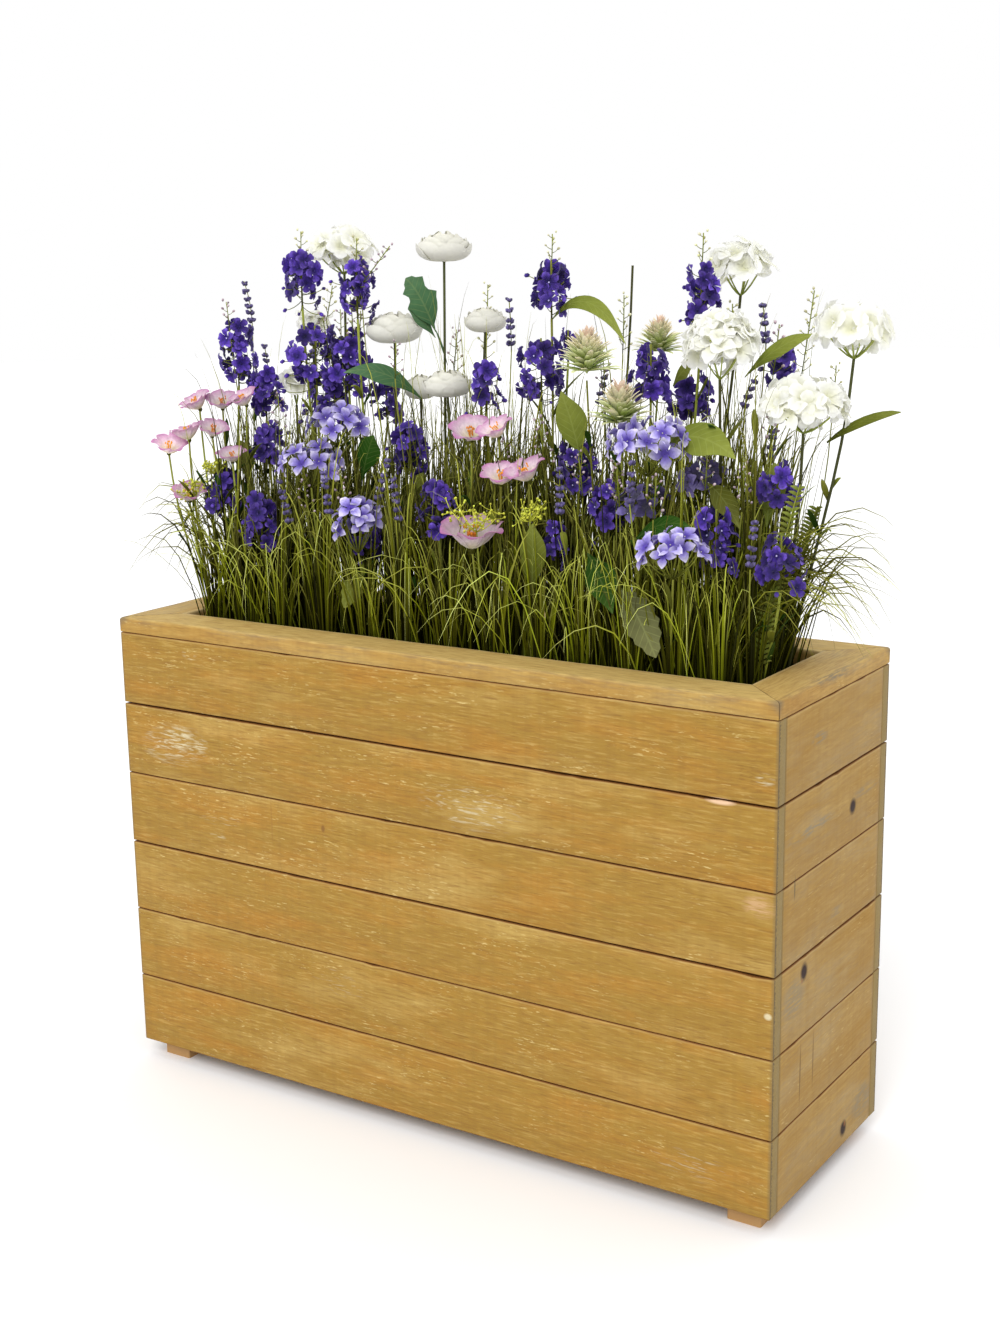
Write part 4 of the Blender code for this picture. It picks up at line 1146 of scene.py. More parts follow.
@dataclass(frozen=True)
class Habit:
    """How a kind grows: its slot, its stems' radius, the leaves on each, how far below a head's
    middle its stem ends (a share of the head's height), and whether its stems are dark."""

    slot: str
    stem: float
    leaves: int
    below: float = 0.5
    dark: bool = False


class Kind(Enum):
    """The kinds of flower in the bed."""

    LARKSPUR = Habit("violet_petals", 0.0017, 6)
    RANUNCULUS = Habit("cream_petals", 0.0019, 0, 0.42, True)
    PHLOX = Habit("white_petals", 0.0019, 4, 0.62, True)
    PINK = Habit("pink_petals", 0.0014, 3)
    LILAC = Habit("lilac_petals", 0.0014, 4, 0.8)
    SPIKY = Habit("pale_bracts", 0.0014, 5)
    LAVENDER = Habit("lavender_buds", 0.0009, 2)


@dataclass(frozen=True)
class Bunch:
    """A bunch of the kind that its name begins with: the depth of its row of roots, and its heads.

    Each head is the x, y and z of its middle, its width and its height, and the length of the
    bud tip on top where it has one, in millimetres.
    """

    row: float
    heads: tuple[tuple[float, ...], ...]


BUNCHES = {
    "larkspur_left": Bunch(-34, (
        (-445, 45, 1010, 56, 92), (-400, 50, 955, 56, 70), (-360, 5, 890, 52, 60),
        (-418, -30, 822, 58, 68), (-325, -60, 790, 55, 80))),
    "larkspur_back_left": Bunch(14, (
        (-295, 10, 1115, 60, 72, 24), (-205, 15, 1100, 58, 78, 26), (-275, 10, 1012, 88, 80),
        (-235, 30, 1005, 72, 84), (-270, 30, 950, 78, 70))),
    "larkspur_centre_left": Bunch(-34, (
        (-220, 95, 945, 42, 70), (-125, 15, 888, 58, 76), (-30, -57, 826, 58, 76),
        (-163, -36, 781, 54, 64))),
    "larkspur_centre": Bunch(14, (
        (15, -10, 980, 48, 64), (90, 30, 1100, 58, 72, 30), (80, 20, 1000, 66, 80),
        (105, 45, 1030, 28, 38))),
    "larkspur_front": Bunch(-34, (
        (138, 12, 882, 60, 64), (145, -55, 790, 36, 62), (197, -20, 838, 58, 54))),
    "larkspur_back_right": Bunch(14, (
        (240, 15, 1000, 58, 70), (310, 10, 1095, 50, 78, 30), (280, 45, 970, 56, 56),
        (385, 75, 1000, 50, 64))),
    "larkspur_right": Bunch(-34, (
        (435, -40, 880, 60, 52), (370, -65, 815, 54, 74), (455, -70, 795, 54, 66))),
    "ranunculus": Bunch(38, (
        (-90, 55, 1155, 78, 42), (-170, 50, 1050, 82, 46), (-40, 75, 1060, 60, 36),
        (-140, 65, 970, 48, 36), (-65, 20, 980, 70, 38))),
    "phlox_left": Bunch(38, (
        (-275, 80, 1150, 98, 50), (-385, 100, 965, 42, 50), (-345, 95, 1050, 50, 34))),
    "phlox_middle": Bunch(38, (
        (330, 75, 1125, 84, 54), (365, -50, 1040, 92, 64))),
    "phlox_right": Bunch(14, (
        (500, 20, 1055, 96, 52), (455, -15, 970, 108, 50))),
    "pink_left": Bunch(-58, (
        (-450, -35, 950, 46, 30), (-425, -15, 950, 44, 30), (-390, -5, 955, 42, 30),
        (-480, -70, 890, 46, 30), (-450, -60, 910, 46, 32), (-420, -45, 915, 42, 32),
        (-455, -60, 825, 46, 34), (-385, -45, 880, 40, 30))),
    "pink_centre": Bunch(-58, (
        (15, -45, 930, 52, 34), (60, -50, 935, 46, 32), (75, -70, 880, 48, 34),
        (110, -60, 885, 52, 34), (50, -100, 805, 78, 44))),
    "lilac_left": Bunch(-58, (
        (-210, -35, 925, 84, 38), (-235, -60, 875, 84, 42), (-140, -85, 805, 62, 52))),
    "lilac_right": Bunch(-58, (
        (285, -75, 925, 100, 48), (345, -125, 810, 82, 42), (270, -60, 850, 56, 40),
        (330, -25, 880, 56, 34))),
    "spiky_cream": Bunch(38, (
        (170, -20, 1025, 62, 66), (220, 75, 1040, 52, 52), (225, -35, 965, 58, 66))),
    "lavender_left": Bunch(-10, (
        (-445, 80, 1080, 18, 60), (-435, 100, 995, 16, 50), (-320, 60, 1025, 16, 50),
        (-250, -90, 825, 18, 60), (-175, -100, 845, 16, 60), (-125, -60, 860, 16, 60))),
    "lavender_centre": Bunch(-10, (
        (-65, -95, 840, 16, 60), (10, 60, 1055, 18, 66), (120, 95, 975, 16, 50),
        (175, -95, 865, 16, 60))),
    "lavender_right": Bunch(-10, (
        (390, 20, 1060, 18, 50), (365, 10, 980, 16, 44), (440, -120, 825, 16, 60),
        (285, -120, 885, 16, 50), (390, 40, 925, 16, 50))),
}


class Shapes:
    """Every small form that repeats, modelled once."""

    def __init__(self) -> None:
        """Models the petals, blooms, buds, leaves, stems and blades."""
        self.stem = self.rod(6, [i / 9 for i in range(10)])
        self.stalk = self.rod(4, [i / 4 for i in range(5)])
        self.blade = self.rod(
            3, (0.0, 0.14, 0.3, 0.46, 0.62, 0.78, 0.9, 1.0), (0.7, 0.95, 1.0, 0.92, 0.76, 0.52, 0.3, 0.08))
        self.block = self.plain_block()
        self.bead = self.round_bud(1.0, 1.0, 1.0)
        self.bud = self.round_bud(0.72, 0.72, 1.0)
        # Five waved and pointed petals round a small eye, 30 mm across
        self.larkspur = self.florets(
            (1, 2, 3), 5, ((3.0, 1.6, 6.5), (4.2, 1.8, 11.5), (4.2, 0.4, 11.0), (3.0, -1.0, 4.4)),
            (2.2, 2.0, 1.9), 1.8, (1.5, 1.5, 1.3))
        # Five wide ruffled petals round a small green-yellow heart, 46 mm across
        self.phlox = self.florets(
            (4, 5, 6), 5, ((4.0, 2.4, 11.0), (6.2, 3.0, 20.0), (6.4, 0.8, 21.5), (5.4, -1.8, 8.0)),
            (3.4, 2.4, 3.0), 0.8, (1.1, 1.1, 0.9))
        # Four waved and pointed petals round a small eye, 32 mm across
        self.lilac = self.florets(
            (7, 8), 4, ((3.0, 1.4, 7.0), (4.8, 1.6, 13.0), (5.0, 0.2, 9.6), (4.2, -1.2, 1.4)),
            (2.6, 2.0, 2.0), 1.0, (0.9, 0.9, 0.8))
        self.pink = [self.pink_bloom(seed) for seed in (9, 10, 11)]
        self.shell = [self.ranunculus_petal(reach, 12 + i) for i, reach in enumerate((0.60, 0.70, 0.80, 0.93))]
        # A broad pointed bract, 26 mm long
        self.bract = Shape.take(grow(
            2.8, ((5.0, 0.8, 5.4), (8.0, 1.0, 6.8), (7.5, 0.2, 5.0), (5.0, -0.9, 0.4)), 1.0, 0.4,
            ruffle=0.5, seed=21))
        # A pointed oval, a leaf with a lobe at each side and one ahead, a toothed and a narrow one
        self.leaf = self.foliage(8.0, (5.0, 14.0, 22.0, 26.0, 26.0, 22.0, 15.0, 7.0, 1.0),
                                 1.6, 3.0, 0.6, 0.8, 1)
        self.lobed = self.foliage(
            5.5, (6.0, 22.0, 36.0, 44.0, 50.0, 58.0, 38.0, 34.0, 40.0, 46.0, 26.0, 20.0, 2.0),
            1.6, 3.2, 0.6, 2.0)
        self.toothed = self.foliage(
            5.0, (6.0, 18.0, 15.0, 27.0, 22.0, 31.0, 26.0, 30.0, 23.0, 24.0, 15.0, 13.0, 1.0),
            1.6, 2.2, 0.6, 0.9)
        self.narrow = self.foliage(9.0, (5.0, 8.0, 9.5, 10.0, 9.5, 8.0, 5.5, 0.8), 2.0, 1.8, 0.5)

    def rod(self, sides: int, cuts: Sequence[float], widths: Sequence[float] = ()) -> Shape:
        """A rod that stands from 0 to 1, cut in rings so that it bends.

        Args:
            sides: how many sides it has.
            cuts: the height of each ring, from 0 to 1.
            widths: the width at each ring, or none for an even rod.

        Returns:
            The rod.
        """
        deselect_everything()
        bpy.ops.mesh.primitive_cylinder_add(
            vertices=sides, radius=1.0, depth=1.0, location=(0.0, 0.0, 0.5), end_fill_type="NGON")
        piece = bpy.context.object
        bpy.ops.object.transform_apply(location=True, rotation=False, scale=False)
        bpy.ops.object.mode_set(mode="EDIT")
        cut(cuts[1:-1], Z_AXIS)
        for height, width in zip(cuts, widths):
            pick(piece, lambda co, height=height: abs(co.z - height) < 0.01)
            resize(width, width, 1.0, about=(0.0, 0.0, height))
        return self.standing(piece)

    def standing(self, piece: bpy.types.Object) -> Shape:
        """Takes a piece that is already modelled upright, with a radius of 1.

        Args:
            piece: the piece.

        Returns:
            Its shape, marked by height.
        """
        shape = Shape.take(piece)
        shape.along = shape.points[:, 2].clip(0.0, 1.0)
        return shape

    def plain_block(self) -> Shape:
        """A block of half sizes 1."""
        deselect_everything()
        bpy.ops.mesh.primitive_cube_add(size=2.0)
        return self.standing(bpy.context.object)

    def round_bud(self, *size: float) -> Shape:
        """A faceted bud of these half sizes, standing on its middle."""
        deselect_everything()
        bpy.ops.mesh.primitive_ico_sphere_add(subdivisions=1, radius=1.0)
        piece = bpy.context.object
        bpy.ops.object.mode_set(mode="EDIT")
        resize(*size)
        shape = self.standing(piece)
        shape.along = (shape.points[:, 2] + 1.0) / 2.0
        return shape

    def florets(self, seeds: Sequence[int], petals: int, steps: Sequence[Place], form: Place,
                heart_height: float, heart: Place) -> list[Shape]:
        """Models a few florets of one kind: waved petals round a small heart.

        Args:
            seeds: one for each floret.
            petals: how many petals it has.
            steps: the steps of a petal.
            form: a petal's width at its root, its cup and its ruffle, in millimetres.
            heart_height: how high the heart sits, in millimetres.
            heart: the heart's half sizes, in millimetres.

        Returns:
            The florets.
        """
        shapes = []
        for seed in seeds:
            floret = grow(form[0], steps, form[1], 0.35, ruffle=form[2], seed=seed)
            set_round(floret, petals)
            add_bead(floret, (0.0, 0.0, heart_height), heart)
            shapes.append(Shape.take(floret))
        return shapes

    def foliage(self, run: float, widths: Sequence[float], root: float, *form: float) -> Shape:
        """A leaf from the run of its steps, its widths, its root's width and grow()'s form."""
        return Shape.take(grow(root, [(run, 0.0, width) for width in widths], *form), stand=True)

    def pink_bloom(self, seed: int) -> Shape:
        """Models an open cup of six broad petals with stamens and a green calyx, 52 mm across.

        Args:
            seed: which waves and stamens it gets.

        Returns:
            The bloom.
        """
        steps = ((5.2, 2.6, 11.5), (5.6, 5.2, 19.0), (5.0, 5.4, 21.0), (4.6, 2.6, 15.0), (3.4, 0.0, 3.4))
        bloom = grow(3.5, steps, 4.2, 0.4, ruffle=2.2, smooth=1, seed=seed)
        set_round(bloom, 6)
        draw = random.Random(seed)
        for i in range(9):
            turn = math.tau * i / 9 + draw.uniform(-0.2, 0.2)
            out = draw.uniform(2.5, 5.5)
            middle = (out * math.cos(turn), out * math.sin(turn), draw.uniform(12.0, 17.0))
            add_bead(bloom, middle, (1.0, 1.0, 1.9))
            add_bead(bloom, tuple(value * 0.6 for value in middle), (0.45, 0.45, 4.8))
        add_bead(bloom, (0.0, 0.0, -0.6), (3.4, 3.4, 4.2), 2)
        return Shape.take(bloom)

    def ranunculus_petal(self, reach: float, seed: int) -> Shape:
        """A shell of a petal, wrapped round a low bun 78 mm wide and 33 mm high.

        Args:
            reach: how far it runs from the bun's lower pole (0) to its upper one (1).
            seed: which waves its rim gets.

        Returns:
            The petal, its claw at the bun's lower pole.
        """
        widths = (24.0, 40.0, 46.0, 47.0, 44.0, 34.0, 16.0)
        run = 98.0 * reach / (len(widths) + 1)
        petal = grow(16.0, [(run, 0.0, width) for width in widths], 0.0, 0.5, ruffle=0.6, smooth=1, seed=seed)
        top = max(vertex.co.y for vertex in petal.data.vertices)
        for vertex in petal.data.vertices:
            x, y, z = vertex.co / MM
            share = y * MM / top
            slope = math.pi * (reach * share - 0.5)
            turn = x / 31.0
            lip = z + 1.5 * share ** 6 + 0.8 * (x / 22.0) ** 2 * share
            out = (38.0 + lip) * max(0.0, math.cos(slope)) ** (0.62 if slope > 0 else 0.7)
            rise = 14.0 + ((19.0 if slope > 0 else 14.0) + lip) * math.sin(slope)
            vertex.co = Vector((out * math.sin(turn), out * math.cos(turn), rise)) * MM
        return Shape.take(petal)


@dataclass
class Head:
    """One flower head: where it stands in its posy, and its width and height in metres."""

    posy: Posy
    draw: random.Random
    middle: Vector
    width: float
    height: float

    @property
    def parts(self) -> tuple:
        """The posy, its shapes and finishes, the draws, the middle, the width and the height."""
        posy = self.posy
        return posy, posy.shapes, posy.finishes, self.draw, self.middle, self.width, self.height

    def dome(self, i: int, rise: float, wander: float, reach: float, high: float) -> Vector:
        """A place on the dome of the head, turned on by the golden angle from the one before.

        Args:
            i: the place's number.
            rise: its share of the height, -1 to 1.
            wander: how far its turn may stray.
            reach: the dome's radius.
            high: the dome's half height.

        Returns:
            The place.
        """
        out = math.sqrt(max(0.0, 1.0 - rise * rise))
        turn = i * GOLDEN + self.draw.uniform(-wander, wander)
        return self.middle + spoke(turn, high * rise + self.draw.uniform(-0.004, 0.004), reach * out)

    def larkspur(self) -> None:
        """Florets on short stalks all round and up the stem, ragged in outline, smaller to the top."""
        posy, shapes, finish, draw, middle, width, height = self.parts
        size = min(1.0, 0.5 + width / 0.11)
        radius = 0.014 * size
        count = max(8, round(width * height * 3700))
        posy.stem(arch(middle - up(height / 2), middle, middle + up(height / 2)), 0.0013, 0.5, finish.stem)
        for i in range(count):
            share = (i + draw.uniform(0.2, 0.8)) / count
            turn = i * GOLDEN + draw.uniform(-0.5, 0.5)
            out = spoke(turn, draw.uniform(-0.4, 0.45)).normalized()
            narrow = 1.0 - 0.45 * max(0.0, share - 0.6) / 0.4
            axis = middle + up((share - 0.5) * (height - 1.1 * radius))
            face = axis + out * max(0.004, (width / 2 - 0.35 * radius) * narrow * draw.uniform(0.4, 1.0))
            posy.stalk(axis - up(0.006), face, 0.0006, finish.stem)
            look = Vector((draw.uniform(-.5, .5), draw.uniform(-.5, .5), draw.uniform(-.35, .45)))
            floret = draw.choice(shapes.larkspur)
            look = (out + look).normalized()
            place = facing(face, look, draw.uniform(0, 6.3), size * draw.uniform(0.72, 0.98))
            posy.lay(floret, place, draw.betavariate(1.3, 1.5), finish.violet,
                     finish.light_heart if draw.random() < 0.3 else finish.violet)
        for _ in range(round(count * 0.35)):
            turn = draw.uniform(0, math.tau)
            start = middle + up(draw.uniform(-0.55, 0.2) * height)
            end = start + spoke(turn, draw.uniform(-0.5, 0.3)) * (width * draw.uniform(0.42, 0.6))
            posy.stalk(start, end, 0.0006, finish.stem)
            look = (end - start + up(-0.01)).normalized()
            place = facing(end, look, 0.0, draw.uniform(0.003, 0.0048))
            posy.lay(shapes.bud, place, draw.random(), finish.violet)

    def phlox(self) -> None:
        """A dome of ruffled white florets on stalks that fan out of one point below."""
        posy, shapes, finish, draw, middle, width, height = self.parts
        ragged = middle.y < 0.0
        florets = shapes.lilac + shapes.larkspur if ragged else shapes.phlox
        count = max(6, round(width * (height * 4600 if ragged else width * 1500)))
        for i in range(count):
            rise = 0.98 - 1.2 * (i + 0.3) / count
            face = self.dome(i, rise, 0.25, 0.5 * width - 0.014, 0.5 * height - 0.006)
            look = (face - middle + up(0.25 * height)).normalized()
            look = (look + scatter(draw, 0.35)).normalized()
            shape = draw.choice(florets)
            size = draw.uniform(0.85, 1.05) * (1.42 if ragged else min(1.0, 0.4 + 6.5 * width))
            posy.lay(shape, facing(face, look, draw.uniform(0, 6.3), size), draw.uniform(0.4, 1.0),
                     finish.white, finish.heart if draw.random() < 0.35 else finish.white)
            if rise < 0.6 and not (ragged and i % 3):
                posy.stalk(middle - up(0.62 * height), face - look * 0.001, 0.0012, finish.heart_stalk)
        inner = shapes.larkspur if ragged else shapes.phlox
        for _ in range(round(count * 0.8)):
            spot = scatter(draw).normalized() * draw.uniform(0.3, 0.72)
            place = middle + Vector((spot.x * width / 2, spot.y * width / 2, spot.z * height / 2))
            look = scatter(draw).normalized()
            matrix = facing(place, look, 0.0, 1.2 if ragged else 0.8)
            posy.lay(draw.choice(inner), matrix, 0.5, finish.white, finish.white)

    def lilac(self) -> None:
        """A loose flat cluster of pale florets that look out to all sides, each on its own stalk."""
        posy, shapes, finish, draw, middle, width, height = self.parts
        # The small heads deep in the bed wear the darker lavender cloth as painted shade
        petal = finish.lavender if width < 0.06 and middle.y > -0.07 else finish.lilac
        count = max(8, round(width * height * 3900))
        for i in range(count):
            face = self.dome(i, 0.95 - 1.35 * (i + 0.3) / count, 0.35, 0.5 * width - 0.006, 0.45 * height)
            look = (face - middle + Vector((0.0, -0.01, 0.3 * height))).normalized()
            look = (look + scatter(draw, 0.45)).normalized()
            floret = draw.choice(shapes.lilac)
            posy.lay(floret, facing(face, look, draw.uniform(0, 6.3), draw.uniform(0.85, 1.12)),
                     draw.betavariate(1.6, 1.6), petal, finish.cream if draw.random() < 0.4 else petal)
            posy.stalk(middle - up(0.8 * height), face, 0.0008, finish.stem)

    def pink(self) -> None:
        """One open cup that looks up and to the front."""
        posy, shapes, finish, draw, middle, width, height = self.parts
        look = Vector((draw.uniform(-0.35, 0.45), draw.uniform(-0.55, 0.0), 1.0)).normalized()
        if width > 0.07:
            look = Vector((0.12, -0.16, 1.0)).normalized()
        bloom = draw.choice(shapes.pink)
        place = facing(middle - up(0.42 * height), look, draw.uniform(0, 6.3), width / 0.044)
        posy.lay(bloom, place, draw.betavariate(2, 2), finish.pink, finish.stamen, finish.stem)

    def ranunculus(self) -> None:
        """Nested shells: the outer ones stop at the shoulder, the inner ones close over the middle."""
        posy, shapes, finish, draw, middle, width, height = self.parts
        base = middle - up(0.46 * height)
        # Each ring's share of the width, its number of petals, and their shell
        rings = (
            (0.97, 6, 0), (0.91, 6, 0), (0.85, 6, 1), (0.78, 5, 1), (0.69, 5, 2), (0.58, 5, 2), (0.44, 4, 3))
        for number, (share, count, shell) in enumerate(rings):
            for i in range(count):
                turn = math.tau * (i + 0.5 * number) / count + draw.uniform(-0.2, 0.2)
                across = share * width / 0.080
                tall = height / 0.035 * (0.99 - 0.11 * number / len(rings) + draw.uniform(-0.025, 0.025))
                place = (
                    Matrix.Translation(base + up(0.0015 * number / len(rings)))
                    @ Matrix.Rotation(turn, 4, "Z") @ Matrix.Rotation(draw.uniform(-0.04, 0.04), 4, "X")
                    @ Matrix.Diagonal((across, across, tall, 1.0)))
                posy.lay(shapes.shell[shell], place, draw.uniform(0.1, 0.9), finish.cream)
        for i in range(5):
            place = pointing(base - up(0.001), spoke(math.tau * i / 5, 0.10).normalized())
            posy.lay(shapes.bract, place @ Matrix.Diagonal((1.5, 0.62, 1.0, 1.0)), 0.5, finish.stem)

    def spiky(self) -> None:
        """Rings of pointed bracts out of a short cone: green and spread below, pale and upright above."""
        posy, shapes, finish, draw, middle, width, height = self.parts
        core = middle - up(0.12 * height)
        size = Matrix.Diagonal((0.13 * width, 0.13 * width, 0.26 * height, 1.0))
        posy.lay(shapes.bead, Matrix.Translation(core) @ size, 0.4, finish.green_bract)
        counts = (12, 16, 18, 19, 18, 16, 14, 11, 8)
        for ring, count in enumerate(counts):
            share = ring / (len(counts) - 1)
            steep = math.radians(2 + 78 * share ** 0.8)
            level = core.z + (-0.20 + 0.38 * share) * height
            for i in range(count):
                turn = math.tau * (i + 0.5 * ring) / count + draw.uniform(-0.2, 0.2)
                lean = steep + draw.uniform(-0.2, 0.2)
                look = spoke(turn, math.sin(lean), math.cos(lean))
                out = 0.09 * width * (1.0 - 0.8 * share)
                place = Vector((middle.x + out * math.cos(turn), middle.y + out * math.sin(turn), level))
                length = (0.56 - 0.12 * share) * width / 0.0255 * draw.uniform(0.8, 1.15)
                pale = share > 0.45 or draw.random() < 0.25
                wear = finish.blush_bract if share > 0.8 else finish.cream_bract if pale else finish.green_bract
                matrix = pointing(place, look) @ Matrix.Scale(length, 4)
                posy.lay(shapes.bract, matrix, draw.uniform(0.3, 1.0), wear)

    def lavender(self) -> None:
        """Whorls of small buds up a thin leaning spike."""
        posy, shapes, finish, draw, middle, width, height = self.parts
        whorls = max(4, round(height / 0.0108))
        foot, top = middle - up(height / 2), middle + Vector((draw.uniform(-0.016, 0.022), 0, height / 2))
        posy.bend(shapes.stalk, arch(foot, middle, top), 0.0008, 0.0008, 0.4, X_AXIS, finish.stem)
        for whorl in range(whorls):
            share = (whorl + draw.uniform(0.25, 0.75)) / whorls
            spread = (0.26 * width) * (1.0 - 0.35 * share)
            for i in range(7):
                turn = math.tau * i / 7 + whorl * 0.6 + draw.uniform(-0.3, 0.3)
                out = spoke(turn, 0.7).normalized()
                place = foot.lerp(top, share) + Vector((out.x, out.y, 0.0)) * spread
                place += up(draw.uniform(-0.0015, 0.002))
                size = draw.uniform(0.0032, 0.0046) * (1.0 - 0.25 * share)
                posy.lay(shapes.bud, facing(place, out, 0.0, size), draw.random(), finish.lavender)


@dataclass(frozen=True)
class LeafPlan:
    """A leaf: the bunch that carries it, its root and tip, its width and arch, and its form and finish."""

    bunch: str
    root: tuple[float, float, float]
    tip: tuple[float, float, float]
    width: float
    arch: float
    form: str
    finish: str
    # How light the leaf is, 0 to 1; a low tone is painted shade on a leaf that sits in shade
    tone: float = 0.55


LEAVES = (
    LeafPlan("ranunculus", (-104, 52, 1044), (-146, 45, 1114), 46, 12, "lobed", "dark_leaf", 0.6),
    LeafPlan("ranunculus", (-88, 55, 1000), (-105, 52, 1048), 3, 5, "narrow", "dark_leaf", 0.2),
    LeafPlan("ranunculus", (-106, 54, 1036), (-146, 48, 1074), 16, 6, "leaf", "dark_leaf", 0.4),
    LeafPlan("ranunculus", (-120, 40, 955), (-205, -20, 992), 28, 22, "leaf", "dark_leaf"),
    LeafPlan("larkspur_centre", (90, 30, 1062), (208, 10, 1034), 22, 46, "leaf", "bright_leaf"),
    LeafPlan("larkspur_front", (150, 0, 893), (133, -20, 978), 40, 4, "leaf", "bright_leaf"),
    LeafPlan("lilac_right", (300, -62, 926), (396, -70, 912), 46, 20, "leaf", "bright_leaf"),
    LeafPlan("phlox_middle", (375, -5, 1000), (462, 0, 1050), 20, 14, "leaf", "bright_leaf"),
    LeafPlan("larkspur_back_right", (268, 20, 985), (322, -15, 1016), 26, 12, "leaf", "bright_leaf", 0.2),
    LeafPlan("phlox_right", (478, 0, 928), (566, 0, 966), 12, 10, "narrow", "olive_leaf"),
    LeafPlan("larkspur_left", (-392, 0, 838), (-418, 5, 892), 32, 6, "leaf", "olive_leaf"),
    LeafPlan("pink_centre", (128, -85, 730), (132, -88, 822), 34, 10, "leaf", "olive_leaf"),
    LeafPlan("larkspur_right", (352, -55, 880), (398, -60, 830), 28, 10, "leaf", "olive_leaf", 0.15),
    LeafPlan("lilac_right", (268, -80, 808), (350, -90, 832), 24, 16, "leaf", "deep_leaf", 0.9),
    LeafPlan("lilac_right", (212, -92, 792), (250, -98, 722), 40, 6, "leaf", "deep_leaf", 0.5),
    LeafPlan("lilac_right", (262, -98, 752), (312, -104, 676), 46, 8, "toothed", "pale_leaf", 0.5),
    LeafPlan("lilac_left", (-128, -92, 738), (-160, -94, 690), 34, 8, "toothed", "olive_leaf"),
    LeafPlan("lilac_left", (-180, -20, 850), (-150, -30, 912), 34, 10, "leaf", "deep_leaf", 0.9),
    LeafPlan("larkspur_centre_left", (-120, 10, 800), (-95, 5, 862), 30, 10, "leaf", "olive_leaf"),
    LeafPlan("larkspur_right", (418, -30, 830), (425, -25, 905), 34, 8, "leaf", "bright_leaf"),
)


# Each spray's foot and top, and 1 for pale buds or 0 for blush ones
SPRAYS = (
    (-40, 75, 1005, -35, 75, 1105, 1), (170, 70, 1020, 172, 70, 1092, 1),
    (412, 70, 985, 428, 70, 1098, 1), (458, 60, 945, 462, 60, 1012, 1),
    (-196, 12, 1106, -148, 14, 1156, 0), (-262, 20, 1060, -250, 20, 1105, 1),
    (-458, 45, 1045, -462, 45, 1082, 0), (-105, 95, 985, -100, 95, 1045, 0),
    (320, 70, 1035, 322, 70, 1082, 1), (395, 30, 1000, 402, 30, 1060, 0),
    (150, 60, 960, 146, 60, 1030, 0), (-225, 30, 1040, -228, 30, 1090, 1),
    (-240, 22, 1030, -238, 20, 1074, 0), (-262, 20, 1026, -268, 18, 1066, 0),
    (-212, 24, 1030, -205, 22, 1072, 0), (-135, 0, 985, -132, 0, 1032, 0),
    (-235, -70, 800, -238, -74, 860, 0), (-165, -80, 815, -168, -84, 872, 0),
    (116, -30, 880, 108, -34, 945, 0), (250, -80, 842, 246, -84, 902, 0),
    (300, -90, 838, 306, -94, 890, 0), (352, -60, 868, 356, -62, 925, 0),
    (415, -20, 915, 420, -22, 972, 0), (-320, -20, 905, -318, -22, 960, 0),
    (175, -40, 850, 170, -42, 905, 0), (228, -50, 840, 232, -54, 898, 0),
    (60, -30, 860, 56, -32, 915, 0), (400, -60, 850, 404, -64, 905, 0),
)

# The middle and size of each yellow-green spray
FILLERS = ((-450, -60, 850, 42), (60, -104, 858, 62), (126, -84, 856, 40), (-430, -40, 872, 30))


